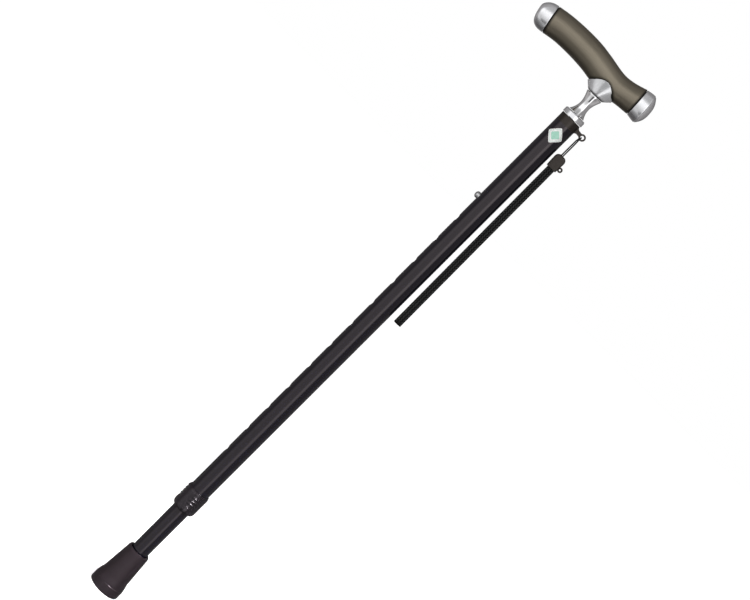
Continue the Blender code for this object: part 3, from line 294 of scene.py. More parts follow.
COLLAR_FRONT_HEIGHT = 0.0144
COLLAR_ARCH_POWER = 1.8
COLLAR_SIDES = 160
SKIN_COLOUR = (0.205, 0.180, 0.138)
SKIN_SHADE = (0.182, 0.159, 0.121)
# painted shade along the skin's seams at the collar and the caps: its reach and how dark it is
SEAM_REACH = 0.0028
PAINTED_SEAM_SHADE = 0.92


def shown(name, mesh, material, body, node_name):
    """Puts a mesh in the scene as a piece that rides on a body and stands for a CAD node."""
    piece = bpy.data.objects.new(name, mesh)
    SCENE.collection.objects.link(piece)
    mesh.materials.clear()
    mesh.materials.append(material)
    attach(piece, body)
    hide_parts(node_name)
    return piece


def skin(name, rings, loop=False):
    """A closed surface over rings of equally many points. Each point is joined to the next in
    its ring and to the same point of the next ring. A loop joins the last ring to the first,
    and otherwise each end closes on the middle of its ring. The faces are turned round if the
    volume inside, a sixth of the sum of a . (b x c) over the triangles, is below zero.
    The UV map counts turns along u, and metres from the first ring along v."""
    rings = np.asarray(rings, float)
    rows, sides = rings.shape[:2]
    points = rings.reshape(-1, 3)
    index = np.arange(rows * sides).reshape(rows, sides)
    here = index if loop else index[:-1]
    there = np.roll(index, -1, axis=0) if loop else index[1:]
    quads = np.stack([here, np.roll(here, -1, 1), np.roll(there, -1, 1), there], -1).reshape(-1, 4)
    steps = np.linalg.norm(np.diff(np.vstack([rings, rings[:1]]), axis=0), axis=2).mean(axis=1)
    reach = np.concatenate([[0], np.cumsum(steps)])
    turn, start = np.meshgrid(np.arange(sides) / sides, reach[: len(here)])
    end = np.broadcast_to(reach[1 : len(here) + 1, None], turn.shape)
    after = turn + 1 / sides
    uvs = np.stack([turn, start, after, start, after, end, turn, end], -1).reshape(-1, 2)
    faces = quads.tolist()
    if not loop:
        points = np.vstack([points, rings[0].mean(axis=0), rings[-1].mean(axis=0)])
        first = np.arange(sides)
        next_one = np.roll(first, -1)
        pole = np.full(sides, rows * sides)
        low = np.stack([next_one, first, pole], -1)
        high = np.stack([first + (rows - 1) * sides, next_one + (rows - 1) * sides, pole + 1], -1)
        faces += low.tolist() + high.tolist()
        around = np.arange(sides) / sides
        for a, b, v in ((around + 1 / sides, around, 0.0), (around, around + 1 / sides, reach[rows - 1])):
            flat = np.full(sides, v)
            caps = np.stack([a, flat, b, flat, (a + b) / 2, flat], -1)
            uvs = np.vstack([uvs, caps.reshape(-1, 2)])
    mesh = bpy.data.meshes.new(name)
    mesh.from_pydata(points.tolist(), [], faces)
    mesh.uv_layers.new(name="turns_and_metres").uv.foreach_set("vector", uvs.astype(np.float32).ravel())
    a, b, c = points[quads[:, 0]], points[quads[:, 1]], points[quads[:, 2]]
    d = points[quads[:, 3]]
    volume = (a * np.cross(b, c)).sum() + (a * np.cross(c, d)).sum()
    if not loop:
        ends = np.vstack([low, high])
        volume += (points[ends[:, 0]] * np.cross(points[ends[:, 1]], points[ends[:, 2]])).sum()
    if volume < 0:
        mesh.flip_normals()
    mesh.shade_smooth()
    return mesh


def full_turn(count):
    """Angles at an even step round a full turn, from 0."""
    return np.arange(count) * 2 * pi / count


def revolved(radius, height, sides, start=0.0):
    """Rings round the z axis, one for each row of radius and height, from the angle start on. A
    row holds one number, or one for each side: x = r cos a and y = r sin a."""
    radius, height, angles = np.broadcast_arrays(radius, height, start + full_turn(sides))
    return np.stack([radius * np.cos(angles), radius * np.sin(angles), height], -1)


def superellipse(half_width, half_height, power, angles):
    """Points of |x/a|^p + |y/b|^p = 1: x is a |cos t|^(2/p) with the sign of the cosine, and y
    is the same with b and the sine."""
    across, up = np.cos(angles), np.sin(angles)
    x = half_width * np.sign(across) * np.abs(across) ** (2 / power)
    y = half_height * np.sign(up) * np.abs(up) ** (2 / power)
    return x, y


def smooth_step(value, low, high):
    """From 0 at low to 1 at high, with level ends: 3t^2 - 2t^3."""
    t = np.clip((value - low) / (high - low), 0, 1)
    return t * t * (3 - 2 * t)


def smooth_curve(points, per_span):
    """A Catmull-Rom curve through the points: between b and c, with their neighbours a and d,
    half of 2b + (c - a)t + (2a - 5b + 4c - d)t^2 + (3b - a - 3c + d)t^3."""
    points = np.array(points, float)
    padded = np.vstack([2 * points[0] - points[1], points, 2 * points[-1] - points[-2]])
    t = np.linspace(0, 1, per_span, endpoint=False)[:, None]
    spans = []
    for a, b, c, d in zip(padded, padded[1:], padded[2:], padded[3:]):
        square = 2 * a - 5 * b + 4 * c - d
        cube = 3 * b - a - 3 * c + d
        spans.append((2 * b + (c - a) * t + square * t**2 + cube * t**3) / 2)
    return np.vstack([*spans, points[-1:]])


def oval(x, middle, half_height, half_depth, lean):
    """Upright rings of the handle, one for each x: a superellipse in y and z, whose upper part
    leans along x."""
    x, middle, half_height, half_depth, lean = (
        np.reshape(v, (-1, 1)) for v in np.broadcast_arrays(x, middle, half_height, half_depth, lean)
    )
    y, z = superellipse(half_depth, half_height, GRIP_SQUARENESS, full_turn(GRIP_SIDES))
    return np.stack([x + lean * z, y, HANDLE_FOOT + middle + z], -1)


def grip_sections():
    """The handle's sections from front to rear: x, middle, half height, half depth and lean."""
    x, top, bottom, depth = smooth_curve(GRIP_STATIONS, GRIP_RINGS_PER_SPAN).T
    share = (x - x[0]) / (x[-1] - x[0])
    lean = GRIP_LEAN[0] + (GRIP_LEAN[1] - GRIP_LEAN[0]) * share
    return np.column_stack([x, (top + bottom) / 2, (top - bottom) / 2, depth, lean])


def object_place(tree, scale=(1, 1, 1)):
    """Object coordinates, stretched by a scale."""
    place = node(tree, "TexCoord").outputs["Object"]
    return node(tree, "Mapping", {"Vector": place, "Scale": scale}).outputs[0]


def noise(tree, place, scale, detail=3.0, roughness=0.5):
    """A noise pattern, from 0 to 1."""
    values = {"Vector": place, "Scale": scale, "Detail": detail, "Roughness": roughness}
    return node(tree, "TexNoise", values).outputs["Fac"]


def bumped(tree, height, distance, strength):
    """The surface's normal under a relief, whose height of 1 stands for a distance in metres."""
    values = {"Height": height, "Distance": distance, "Strength": strength}
    return node(tree, "Bump", values).outputs[0]


def finish(name):
    """A new material with a Principled shader, which is returned with its tree."""
    material = bpy.data.materials.new(name + "_finish")
    tree, output = nodes_of(material)
    shader = node(tree, "BsdfPrincipled")
    tree.links.new(shader.outputs[0], output.inputs[0])
    return material, tree, shader


def wire(tree, shader, **sockets):
    """Sets or links the shader's inputs. An underscore in a name stands for a space."""
    for name, value in sockets.items():
        feed(tree, shader.inputs[name.replace("_", " ")], value)


def clouded_finish(name, colours, rough, cloud, grain, relief, stretch=(1, 1, 1), **sockets):
    """A finish whose colour and roughness go between two values each with one noise, the cloud,
    while another, the grain, which may be stretched, gives its relief. A noise is a scale, a
    detail and a roughness, and a relief is a height in metres and a strength."""
    material, tree, shader = finish(name)
    clouds = noise(tree, object_place(tree), *cloud)
    grains = noise(tree, object_place(tree, stretch), *grain)
    wire(
        tree, shader,
        Base_Color=mixed(tree, clouds, *colours),
        Roughness=ramp(tree, clouds, ((0.3, rough[0]), (0.7, rough[1]))),
        Normal=bumped(tree, grains, *relief),
        **sockets,
    )
    return material, tree, shader


def add_to(tree, socket, pattern, factor):
    """Adds a pattern times a factor to what comes into a socket."""
    feed(tree, socket, maths(tree, "MULTIPLY_ADD", pattern, factor, socket.links[0].from_socket))


def paint_seam_shade(tree, shader, darkness):
    """Paints shade: takes a share off the shader's colour where the mesh's attribute "seam" is 1."""
    near = node(tree, "Attribute", attribute_name="seam").outputs["Fac"]
    share = maths(tree, "MULTIPLY_ADD", near, -darkness, 1)
    colour = shader.inputs["Base Color"]
    feed(tree, colour, scaled(tree, colour.links[0].from_socket, share))


def soft_touch_finish():
    """Fine leathery grain with pores, cloudy shade, and a dull coat that is a little smoother
    where hands have rubbed it. Painted shade makes it nearly black where it dips at the collar and caps."""
    material, tree, shader = clouded_finish(
        "soft_touch_skin",
        (SKIN_SHADE, SKIN_COLOUR),
        rough=(0.31, 0.36),
        cloud=(45, 2),
        grain=(5200, 2, 0.6),
        relief=(0.00004, 0.5),
        Metallic=0.85,
    )
    pores = node(tree, "TexVoronoi", {"Vector": object_place(tree), "Scale": 2600})
    bump = shader.inputs["Normal"].links[0].from_node
    add_to(tree, bump.inputs["Height"], pores.outputs["Distance"], 0.5)
    paint_seam_shade(tree, shader, PAINTED_SEAM_SHADE)
    return material


def grip_skin():
    """The skin's outside, its rounded ends and its inside, as one closed loop of rings. An end
    is rounded by a quarter circle: at a turn t it has drawn in by the edge times 1 - cos t."""
    x, middle, height, depth, lean = grip_sections().T
    outside = oval(x, middle, height, depth, lean)
    inside = oval(x, middle, height - GRIP_THICKNESS, depth - GRIP_THICKNESS, lean)[::-1]
    turns = np.linspace(0, pi / 2, 5)[1:]
    drawn_in = GRIP_EDGE * (1 - np.cos(turns))
    from_end = GRIP_EDGE * (1 - np.sin(turns))
    near, rounding = [], []
    for k, inwards in ((0, 1), (-1, -1)):
        near.append(oval(x[k] + inwards * GRIP_EDGE, middle[k], height[k], depth[k], lean[k]))
        face = x[k] + inwards * from_end
        rounding.append(oval(face, middle[k], height[k] - drawn_in, depth[k] - drawn_in, lean[k]))
    rings = [near[0], outside[1:-1], near[1], rounding[1], inside, rounding[0][::-1]]
    return skin("grip_cover", np.concatenate(rings), loop=True)


def boss_cutter():
    """A bar through the underside of the skin, where the core's boss comes out."""
    heights = HANDLE_FOOT + np.array(BOSS_CUT)[:, None]
    return skin("boss_cutter", revolved(BOSS_ROOM, heights, BOSS_SIDES))


def combined(operation, *meshes):
    """The first of some closed meshes less the others, or the union of them all."""
    holders = []
    for mesh in meshes:
        holder = bpy.data.objects.new(mesh.name, mesh)
        SCENE.collection.objects.link(holder)
        holders.append(holder)
    first, *others = holders
    for other in others:
        modifier = first.modifiers.new(other.name, "BOOLEAN")
        modifier.operation = operation
        modifier.object = other
    bpy.context.view_layer.update()
    evaluated = first.evaluated_get(bpy.context.evaluated_depsgraph_get())
    made = bpy.data.meshes.new_from_object(evaluated)
    for holder in holders:
        bpy.data.objects.remove(holder, do_unlink=True)
    return made


def collar_rim():
    """The rim of the collar: an oval seen from above, whose height climbs from the sides to the
    front and back by 1 - |cos a|^power."""
    angles = full_turn(COLLAR_SIDES)
    climb = 1 - np.abs(np.cos(angles)) ** COLLAR_ARCH_POWER
    top = COLLAR_SIDE_HEIGHT + (COLLAR_FRONT_HEIGHT - COLLAR_SIDE_HEIGHT) * climb
    x = COLLAR_RIM_HALF_WIDTH * np.cos(angles)
    y = COLLAR_RIM_HALF_DEPTH * np.sin(angles)
    return np.column_stack([x, y, HANDLE_FOOT + top])


def places_of(mesh):
    """The x, y and z of a mesh's points."""
    flat = np.empty(3 * len(mesh.vertices), np.float32)
    mesh.vertices.foreach_get("co", flat)
    return flat.astype(float).reshape(-1, 3).T


def mark(mesh, name, values):
    """Gives each point of a mesh a number, which its material reads."""
    marks = mesh.attributes.new(name, "FLOAT", "POINT")
    marks.data.foreach_set("value", np.asarray(values, np.float32))


def mark_seams(mesh):
    """Marks where the skin gets painted shade: 1 at the collar's rim, seen from the front, and
    at its leaned ends, which falls to 0 at the seam's reach."""
    x, _, z = places_of(mesh)
    rim = collar_rim()
    away = np.hypot(x[:, None] - rim[:, 0], z[:, None] - rim[:, 2]).min(axis=1)
    sections = grip_sections()
    for end, middle, _, _, lean in (sections[0], sections[-1]):
        away = np.minimum(away, np.abs(x - end - lean * (z - HANDLE_FOOT - middle)))
    mark(mesh, "seam", 1 - smooth_step(away, 0, SEAM_REACH))
    return mesh


SOFT_TOUCH = soft_touch_finish()
grip_mesh = mark_seams(combined("DIFFERENCE", grip_skin(), boss_cutter()))
shown("grip", grip_mesh, SOFT_TOUCH, "upper_stick", "grip_cover")


# End caps
# Two satin metal cups that close the ends of the handle. Each is held by a peg that is pressed
# into the core, with a hair-thin gap where it meets the skin, which has painted shade beside it.

CAP_SEAM = 0.0004
CAP_WALL = 0.0014
CAP_EDGE = 0.0003
CAP_PEG_RADIUS = 0.0040
CAP_PEG_DEPTH = 0.0100
CAP_PEG_TAPER = 0.0006
CAP_PEG_END_RADIUS = 0.0034
CAP_PEG_ROOT_SHARE = 0.6
CAP_FLOOR_WIDTH = 0.0088  # of the cap's inside, where it goes over into the peg
FRONT_CAP_LENGTH = 0.0129
FRONT_CAP_TIP = 0.985  # share of a quarter turn at which its first ring lies
FRONT_CAP_HEIGHT_POWER = 2.5
FRONT_CAP_DEPTH_POWER = 4
FRONT_CAP_UPTURN = 0.0029
FRONT_CAP_UPTURN_POWER = 12
REAR_CAP_LENGTH = 0.0134
REAR_CAP_DRUM = 0.0080
REAR_CAP_FLARE = 0.0010
REAR_CAP_BULGE = 0.0006
REAR_CAP_DOME_POWER = 2.6
REAR_CAP_DOME_END = 1.27  # radians, whose sine is the size of the dome's last ring
REAR_CAP_CREASE = 0.0007
REAR_CAP_CORNER_START = 0.93  # share of the drum from which its corner rounds
CAP_DULL = (0.75, 0.755, 0.775)
CAP_BRIGHT = (0.80, 0.80, 0.82)


def lying(rings, height):
    """Rings round the z axis, laid down to run along x at a height."""
    return rings[..., [2, 0, 1]] + (0, 0, height)


def cap_peg(section, outwards, root):
    """Rings of the round peg, from its root inside the cap to its tapered end in the core."""
    x, middle = section[:2]
    end = x - outwards * CAP_PEG_DEPTH
    places = np.array([[root], [end + outwards * CAP_PEG_TAPER], [end]])
    radii = np.array([[CAP_PEG_RADIUS], [CAP_PEG_RADIUS], [CAP_PEG_END_RADIUS]])
    return [*lying(revolved(radii, places, GRIP_SIDES), HANDLE_FOOT + middle)]


def other_share(share, power):
    """The second share of an oval whose shares keep to a^p + b^p = 1."""
    return (1 - share**power) ** (1 / power)


def cap(name, walls, axis, section, outwards, root):
    """One closed surface: the outer wall from its tip to the rim, two rings that round the rim,
    the inner wall back to where it is as narrow along an axis as the floor, and the peg."""
    outside, inside = walls
    inside = [ring for ring in inside if np.ptp(ring[:, axis]) > CAP_FLOOR_WIDTH][::-1]
    outer, inner = outside[-1], inside[0]
    share = CAP_EDGE / CAP_WALL
    shift = (-outwards * CAP_EDGE / 2, 0, 0)
    rim = [outer + (inner - outer) * share + shift, inner + (outer - inner) * share + shift]
    return skin(name, [*outside, *rim, *inside, *cap_peg(section, outwards, root)])


def front_cap():
    """From the tip to the rim the oval grows while it draws back by a sine. Its height h and
    how far out it lies, o, keep to h^p + o^p = 1, and so does its depth with a higher power.
    The rings stay square to the leaned rim, and the last of them turn up."""
    section = grip_sections()[0]
    x, middle, height, depth, lean = section
    rim = x - CAP_SEAM
    out = np.sin(np.linspace(FRONT_CAP_TIP, 0.0, 40) * pi / 2)
    walls = []
    for inset in (0.0, CAP_WALL):
        reach = (FRONT_CAP_LENGTH - inset) * out
        centre = middle + lean * reach + FRONT_CAP_UPTURN * out**FRONT_CAP_UPTURN_POWER
        tall = (height - inset) * other_share(out, FRONT_CAP_HEIGHT_POWER)
        wide = (depth - inset) * other_share(out, FRONT_CAP_DEPTH_POWER)
        walls.append([*oval(rim - reach, centre, tall, wide, lean)])
    return cap("front_cap", walls, 2, section, -1, rim - CAP_PEG_ROOT_SHARE * FRONT_CAP_LENGTH)


def rear_cap():
    """From the middle of the dome to the crease, over the crease, and along the drum, whose
    flare follows a quarter sine, to the rim. The sides bulge with the square of y."""
    section = grip_sections()[-1]
    x, middle, height, depth, lean = section
    rim = x + CAP_SEAM
    size = np.sin(np.linspace(0.02, REAR_CAP_DOME_END, 30))
    share = np.concatenate([np.linspace(1.0, REAR_CAP_CORNER_START, 5), np.linspace(0.85, 0.0, 10)])
    corner = np.maximum(0, (share - REAR_CAP_CORNER_START) / (1 - REAR_CAP_CORNER_START))
    walls = []
    for inset in (0.0, CAP_WALL):
        tall, wide = height + REAR_CAP_FLARE - inset, depth + REAR_CAP_FLARE - inset
        rise = (REAR_CAP_LENGTH - REAR_CAP_DRUM) * (1 - size**REAR_CAP_DOME_POWER) - inset
        dome = oval(rim + REAR_CAP_DRUM + rise, middle, tall * size, wide * size, lean)
        dome[..., 0] += REAR_CAP_BULGE * (dome[..., 1] / wide) ** 2
        flare = REAR_CAP_FLARE * np.sin(share * pi / 2) - inset - REAR_CAP_CREASE * corner**2
        face = rim + (REAR_CAP_DRUM - inset) * share
        drum = oval(face, middle, height + flare, depth + flare, lean)
        bulge = REAR_CAP_BULGE * share[:, None]
        drum[..., 0] += bulge * (drum[..., 1] / (depth + flare)[:, None]) ** 2
        walls.append([*dome, *drum])
    return cap("rear_cap", walls, 1, section, 1, rim + REAR_CAP_DRUM)


def satin_finish(name, metallic, dull, bright, seam_darkness=0.0):
    """Fine-blasted plated metal: a faint grain, a cloudy change of gloss and light scuffs. With
    a seam darkness it has painted shade where the mesh has the attribute "seam"."""
    material, tree, shader = clouded_finish(
        name,
        (dull, bright),
        rough=(0.19, 0.24),
        cloud=(160, 3),
        grain=(9000, 2, 0.7),
        relief=(0.000008, 0.4),
        Metallic=metallic,
    )
    scuffs = noise(tree, object_place(tree, (1, 6, 1)), 700, 5, 0.7)
    marks = ramp(tree, scuffs, ((0.62, 0.0), (0.72, 1.0)))
    add_to(tree, shader.inputs["Roughness"], marks, 0.07)
    if seam_darkness:
        paint_seam_shade(tree, shader, seam_darkness)
    return material


SATIN = satin_finish("satin_metal", 0.85, CAP_DULL, CAP_BRIGHT)
shown("front_cap", front_cap(), SATIN, "upper_stick", "front_end_cap")
shown("rear_cap", rear_cap(), SATIN, "upper_stick", "rear_end_cap")


# Saddle collar
# A satin metal cone that opens from the neck into a saddle under the handle. Its arched rim lies
# on the skin, and the core's boss stands inside it.

COLLAR_FOOT_RADIUS = 0.0078
COLLAR_SEAM = 0.0003
COLLAR_BORE = 0.0064
COLLAR_EDGE = 0.0009
COLLAR_EDGE_SHARE = 0.09
COLLAR_RIM_WALL = 0.0002
COLLAR_RIM_INNER_SHARE = 0.86
COLLAR_LIP_RISE = 0.00005
COLLAR_BORE_EDGE = 0.0003
COLLAR_FOOT_SHADE = 0.0024  # how far up the painted shade of the seam at its foot goes
COLLAR_FOOT_DARKNESS = 0.88
COLLAR_DULL = (0.84, 0.85, 0.87)
COLLAR_BRIGHT = (0.88, 0.885, 0.90)


def grip_depth_at(x, z):
    """How deep the handle is at a place x and height z above its foot, by solving the oval's
    formula for y at the section that leans through it. Outside the handle's height it is 0."""
    stations, middles, heights, depths, leans = grip_sections().T
    station = x.copy()
    for _ in range(6):
        middle = np.interp(station, stations, middles)
        station = x - np.interp(station, stations, leans) * (z - middle)
    height = np.interp(station, stations, heights)
    share = np.clip(np.abs(z - middle) / height, 0, 1)
    return np.interp(station, stations, depths) * other_share(share, GRIP_SQUARENESS)


def grip_bottom_at(x, y):
    """The height above the foot of the handle's underside at x and y."""
    stations, *columns = grip_sections().T
    station = x.copy()
    for _ in range(6):
        middle, height, depth, lean = (np.interp(station, stations, column) for column in columns)
        drop = height * other_share(np.clip(np.abs(y) / depth, 0, 1), GRIP_SQUARENESS)
        station = x + lean * drop
    return middle - drop


def collar():
    """Straight lines run from a circle at the foot to an arched rim. The rim turns in to the
    handle, and from there the inside follows the handle's underside to a round bore. The foot
    is rounded by a quarter ellipse, and marked as a seam, where it gets painted shade."""
    foot = revolved(COLLAR_FOOT_RADIUS, 0.0, COLLAR_SIDES)
    bore = revolved(COLLAR_BORE, 0.0, COLLAR_SIDES)
    rim = collar_rim() - (0, 0, HANDLE_FOOT)
    shares = np.concatenate([np.linspace(COLLAR_EDGE_SHARE, 0.97, 20), [0.985]])[:, None, None]
    wall = foot + (rim - foot) * shares
    clear = grip_depth_at(rim[:, 0], rim[:, 2]) + COLLAR_SEAM
    deep = np.abs(rim[:, 1])
    least = np.maximum(clear, COLLAR_RIM_INNER_SHARE * deep)
    inner = rim.copy()
    inner[:, 1] = np.sign(rim[:, 1]) * np.minimum(deep - COLLAR_RIM_WALL, least)
    lip = rim + (inner - rim) * 0.35 + (0, 0, COLLAR_LIP_RISE)
    inside = []
    for share in np.linspace(0.1, 1.0, 10):
        ring = inner + (bore - inner) * share
        under = grip_bottom_at(ring[:, 0], ring[:, 1]) - COLLAR_SEAM
        ring[:, 2] = np.minimum(under, inner[:, 2])
        inside.append(ring)
    low = bore + (0, 0, COLLAR_BORE_EDGE)
    foot_inner = bore * (1.03, 1.03, 1)
    edge = []
    for turn in np.linspace(0, 0.9, 6) * pi / 2:
        drawn_in = 1 - COLLAR_EDGE / COLLAR_FOOT_RADIUS * (1 - sin(turn))
        climb = (rim - foot) * COLLAR_EDGE_SHARE * (1 - cos(turn))
        edge.append(foot * (drawn_in, drawn_in, 1) + climb)
    rings = np.array([*edge, *wall, rim, lip, inner, *inside, low, foot_inner])
    mesh = skin("collar", rings + (0, 0, HANDLE_FOOT), loop=True)
    height = places_of(mesh)[2] - HANDLE_FOOT
    mark(mesh, "seam", 1 - smooth_step(height, 0, COLLAR_FOOT_SHADE))
    return mesh


# the collar's foot gets painted shade along its seam with the neck
BLASTED = satin_finish("satin_collar", 0.6, COLLAR_DULL, COLLAR_BRIGHT, COLLAR_FOOT_DARKNESS)
shown("collar", collar(), BLASTED, "upper_stick", "saddle_collar")


# Neck and flange
# The neck is a turned and polished metal waist, drilled through for the long bolt. The flange
# under it is a satin turned ring with a bevelled upper edge that covers the top of the tube.

NECK_TOP_RADIUS = 0.0076
NECK_FOOT_RADIUS = 0.0079
NECK_TOP_POWER = 1.7
NECK_FOOT_POWER = 2.2
NECK_WAIST_RADIUS = 0.00475
NECK_WAIST_HEIGHT = 0.0098
NECK_LIP = 0.0011
NECK_LIP_EDGE = 0.00025
NECK_FOOT_EDGE = 0.0003
NECK_CREASE_HEIGHT = 0.0001
NECK_CREASE_DEPTH = 0.00006
NECK_COLOUR = (0.83, 0.83, 0.84)
BOLT_ROOM = 0.0033
BORE_EDGE = 0.0002
FLANGE_CHAMFER = 0.0010
FLANGE_EDGE = 0.00025
TURNED_SIDES = 128
CORNER_STEPS = 4
CORNER_RUN_OUT = 0.4  # of the corner's radius, along the flats beside it


def rounded(corners):
    """A closed outline through corners (x, y, radius). Each corner becomes an arc that touches
    both sides: it starts and ends radius / tan(half the corner's angle) away from the corner,
    and a further point beyond each end keeps the flat beside it flat in shading."""
    points = []
    for i, (x, y, radius) in enumerate(corners):
        here = np.array([x, y])
        if not radius:
            points.append(here)
            continue
        before = np.array(corners[i - 1][:2]) - here
        after = np.array(corners[(i + 1) % len(corners)][:2]) - here
        u, v = before / np.linalg.norm(before), after / np.linalg.norm(after)
        half = np.arccos(np.clip(u @ v, -1, 1)) / 2
        reach = radius / np.tan(half)
        middle = here + (u + v) / np.linalg.norm(u + v) * radius / np.sin(half)
        start, end = here + u * reach, here + v * reach
        a, b = start - middle, end - middle
        spread = np.arccos(np.clip(a @ b / radius**2, -1, 1))
        t = np.linspace(0, 1, CORNER_STEPS + 1)[:, None]
        arc = middle + (a * np.sin((1 - t) * spread) + b * np.sin(t * spread)) / np.sin(spread)
        run_out = radius * CORNER_RUN_OUT
        points += [start + u * run_out, *arc, end + v * run_out]
    return np.array(points)


def turned(name, profile):
    """A profile of (radius, height) points, a closed loop, carried round the z axis."""
    profile = np.asarray(profile, float)
    return skin(name, revolved(profile[:, :1], profile[:, 1:], TURNED_SIDES), loop=True)


def neck():
    """The radius grows with a power of the height above the waist, and with a higher power of
    the depth below it, so the foot flares late and quickly."""
    low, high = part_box("neck_stem")
    waist = low.z + NECK_WAIST_HEIGHT
    top = high.z - NECK_LIP
    share = np.linspace(1, 0, 36)[1:]
    spread = (NECK_TOP_RADIUS - NECK_WAIST_RADIUS) * share**NECK_TOP_POWER
    upper = np.column_stack([NECK_WAIST_RADIUS + spread, waist + (top - waist) * share])
    share = np.linspace(0, 1, 40)[1:-1]
    spread = (NECK_FOOT_RADIUS - NECK_WAIST_RADIUS) * share**NECK_FOOT_POWER
    lower = np.column_stack([NECK_WAIST_RADIUS + spread, waist - (waist - low.z) * share])
    lip = [
        (NECK_TOP_RADIUS - NECK_LIP_EDGE, high.z),
        (NECK_TOP_RADIUS, high.z - NECK_LIP_EDGE),
        (NECK_TOP_RADIUS, top + NECK_CREASE_HEIGHT),
        (NECK_TOP_RADIUS - NECK_CREASE_DEPTH, top),
    ]
    foot = [(NECK_FOOT_RADIUS, low.z + NECK_FOOT_EDGE), (NECK_FOOT_RADIUS - NECK_FOOT_EDGE, low.z)]
    bore = [
        (BOLT_ROOM + BORE_EDGE, low.z),
        (BOLT_ROOM, low.z + BORE_EDGE),
        (BOLT_ROOM, high.z - BORE_EDGE),
        (BOLT_ROOM + BORE_EDGE, high.z),
    ]
    return turned("neck", np.vstack([lip, upper, lower, foot, bore]))


def flange():
    """A ring with a bevel, its edges broken by small arcs."""
    low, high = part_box("flange_ring")
    radius = high.x
    corners = [
        (BOLT_ROOM, high.z, 0.0),
        (radius - FLANGE_CHAMFER, high.z, FLANGE_EDGE),
        (radius, high.z - FLANGE_CHAMFER, FLANGE_EDGE),
        (radius, low.z, FLANGE_EDGE),
        (BOLT_ROOM, low.z, 0.0),
    ]
    return turned("flange", rounded(corners))


def polished_finish():
    """Bright plated metal of one colour, with faint turning rings."""
    material, _, _ = clouded_finish(
        "bright_metal",
        (NECK_COLOUR, NECK_COLOUR),
        rough=(0.08, 0.12),
        cloud=(300, 2),
        grain=(9000, 1),
        relief=(0.000003, 0.3),
        stretch=(0.02, 0.02, 1),
        Metallic=1.0,
    )
    return material


BRIGHT = polished_finish()
shown("neck", neck(), BRIGHT, "upper_stick", "neck_stem")
shown("flange", flange(), SATIN, "upper_stick", "flange_ring")


# Pieces inside
# One long hexagon bolt runs from inside the tube through plug, flange, neck and collar into a
# brass insert in the moulded core, and so holds the head together. The guide plug, the wedge
# ring and the foot's washer are out of sight too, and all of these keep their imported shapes.


def plain_finish(name, colour, rough, metallic=0.0, depth=0.00001):
    """A moulded or machined finish with a fine grain and a little change of gloss."""
    material, _, _ = clouded_finish(
        name,
        (tuple(c * 0.86 for c in colour), colour),
        rough=(rough - 0.05, rough + 0.05),
        cloud=(220, 3),
        grain=(6000, 2),
        relief=(depth, 0.5),
        Metallic=metallic,
    )
    return material


def refinish(material, *names):
    """Gives CAD nodes another material."""
    for name in names:
        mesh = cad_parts[name].data
        mesh.materials.clear()
        mesh.materials.append(material)


CORE = plain_finish("core_plastic", (0.06, 0.06, 0.06), 0.5)
STEEL = plain_finish("steel", (0.55, 0.55, 0.56), 0.3, 1.0, 0.000004)
BRASS = plain_finish("brass", (0.65, 0.48, 0.20), 0.3, 1.0, 0.000004)
refinish(CORE, "handle_core", "shaft_plug", "guide_plug", "clamp_wedge")
refinish(STEEL, "handle_bolt", "bolt_washer", "tip_washer")
refinish(BRASS, "core_insert")


# Tubes
# Two drawn aluminium tubes, anodised black and glossy. The upper one has a row of drilled holes
# down its left side, and the lower one has a single hole for the button.

TUBE_COLOUR = (0.0014, 0.0016, 0.0050)
TUBE_MOTTLE = (0.0028, 0.0030, 0.0085)
TUBE_TINT = (1.0, 0.88, 0.88)
UPPER_TUBE_WALL = 0.0012
LOWER_TUBE_WALL = 0.0010
HOLE_RADIUS = 0.0033
HOLE_PITCH = 0.0250
HOLE_COUNT = 13
TUBE_SIDES = 72
HOLE_BLOCK = 6
HOLE_RINGS = 4
TUBE_EDGE = 0.00015


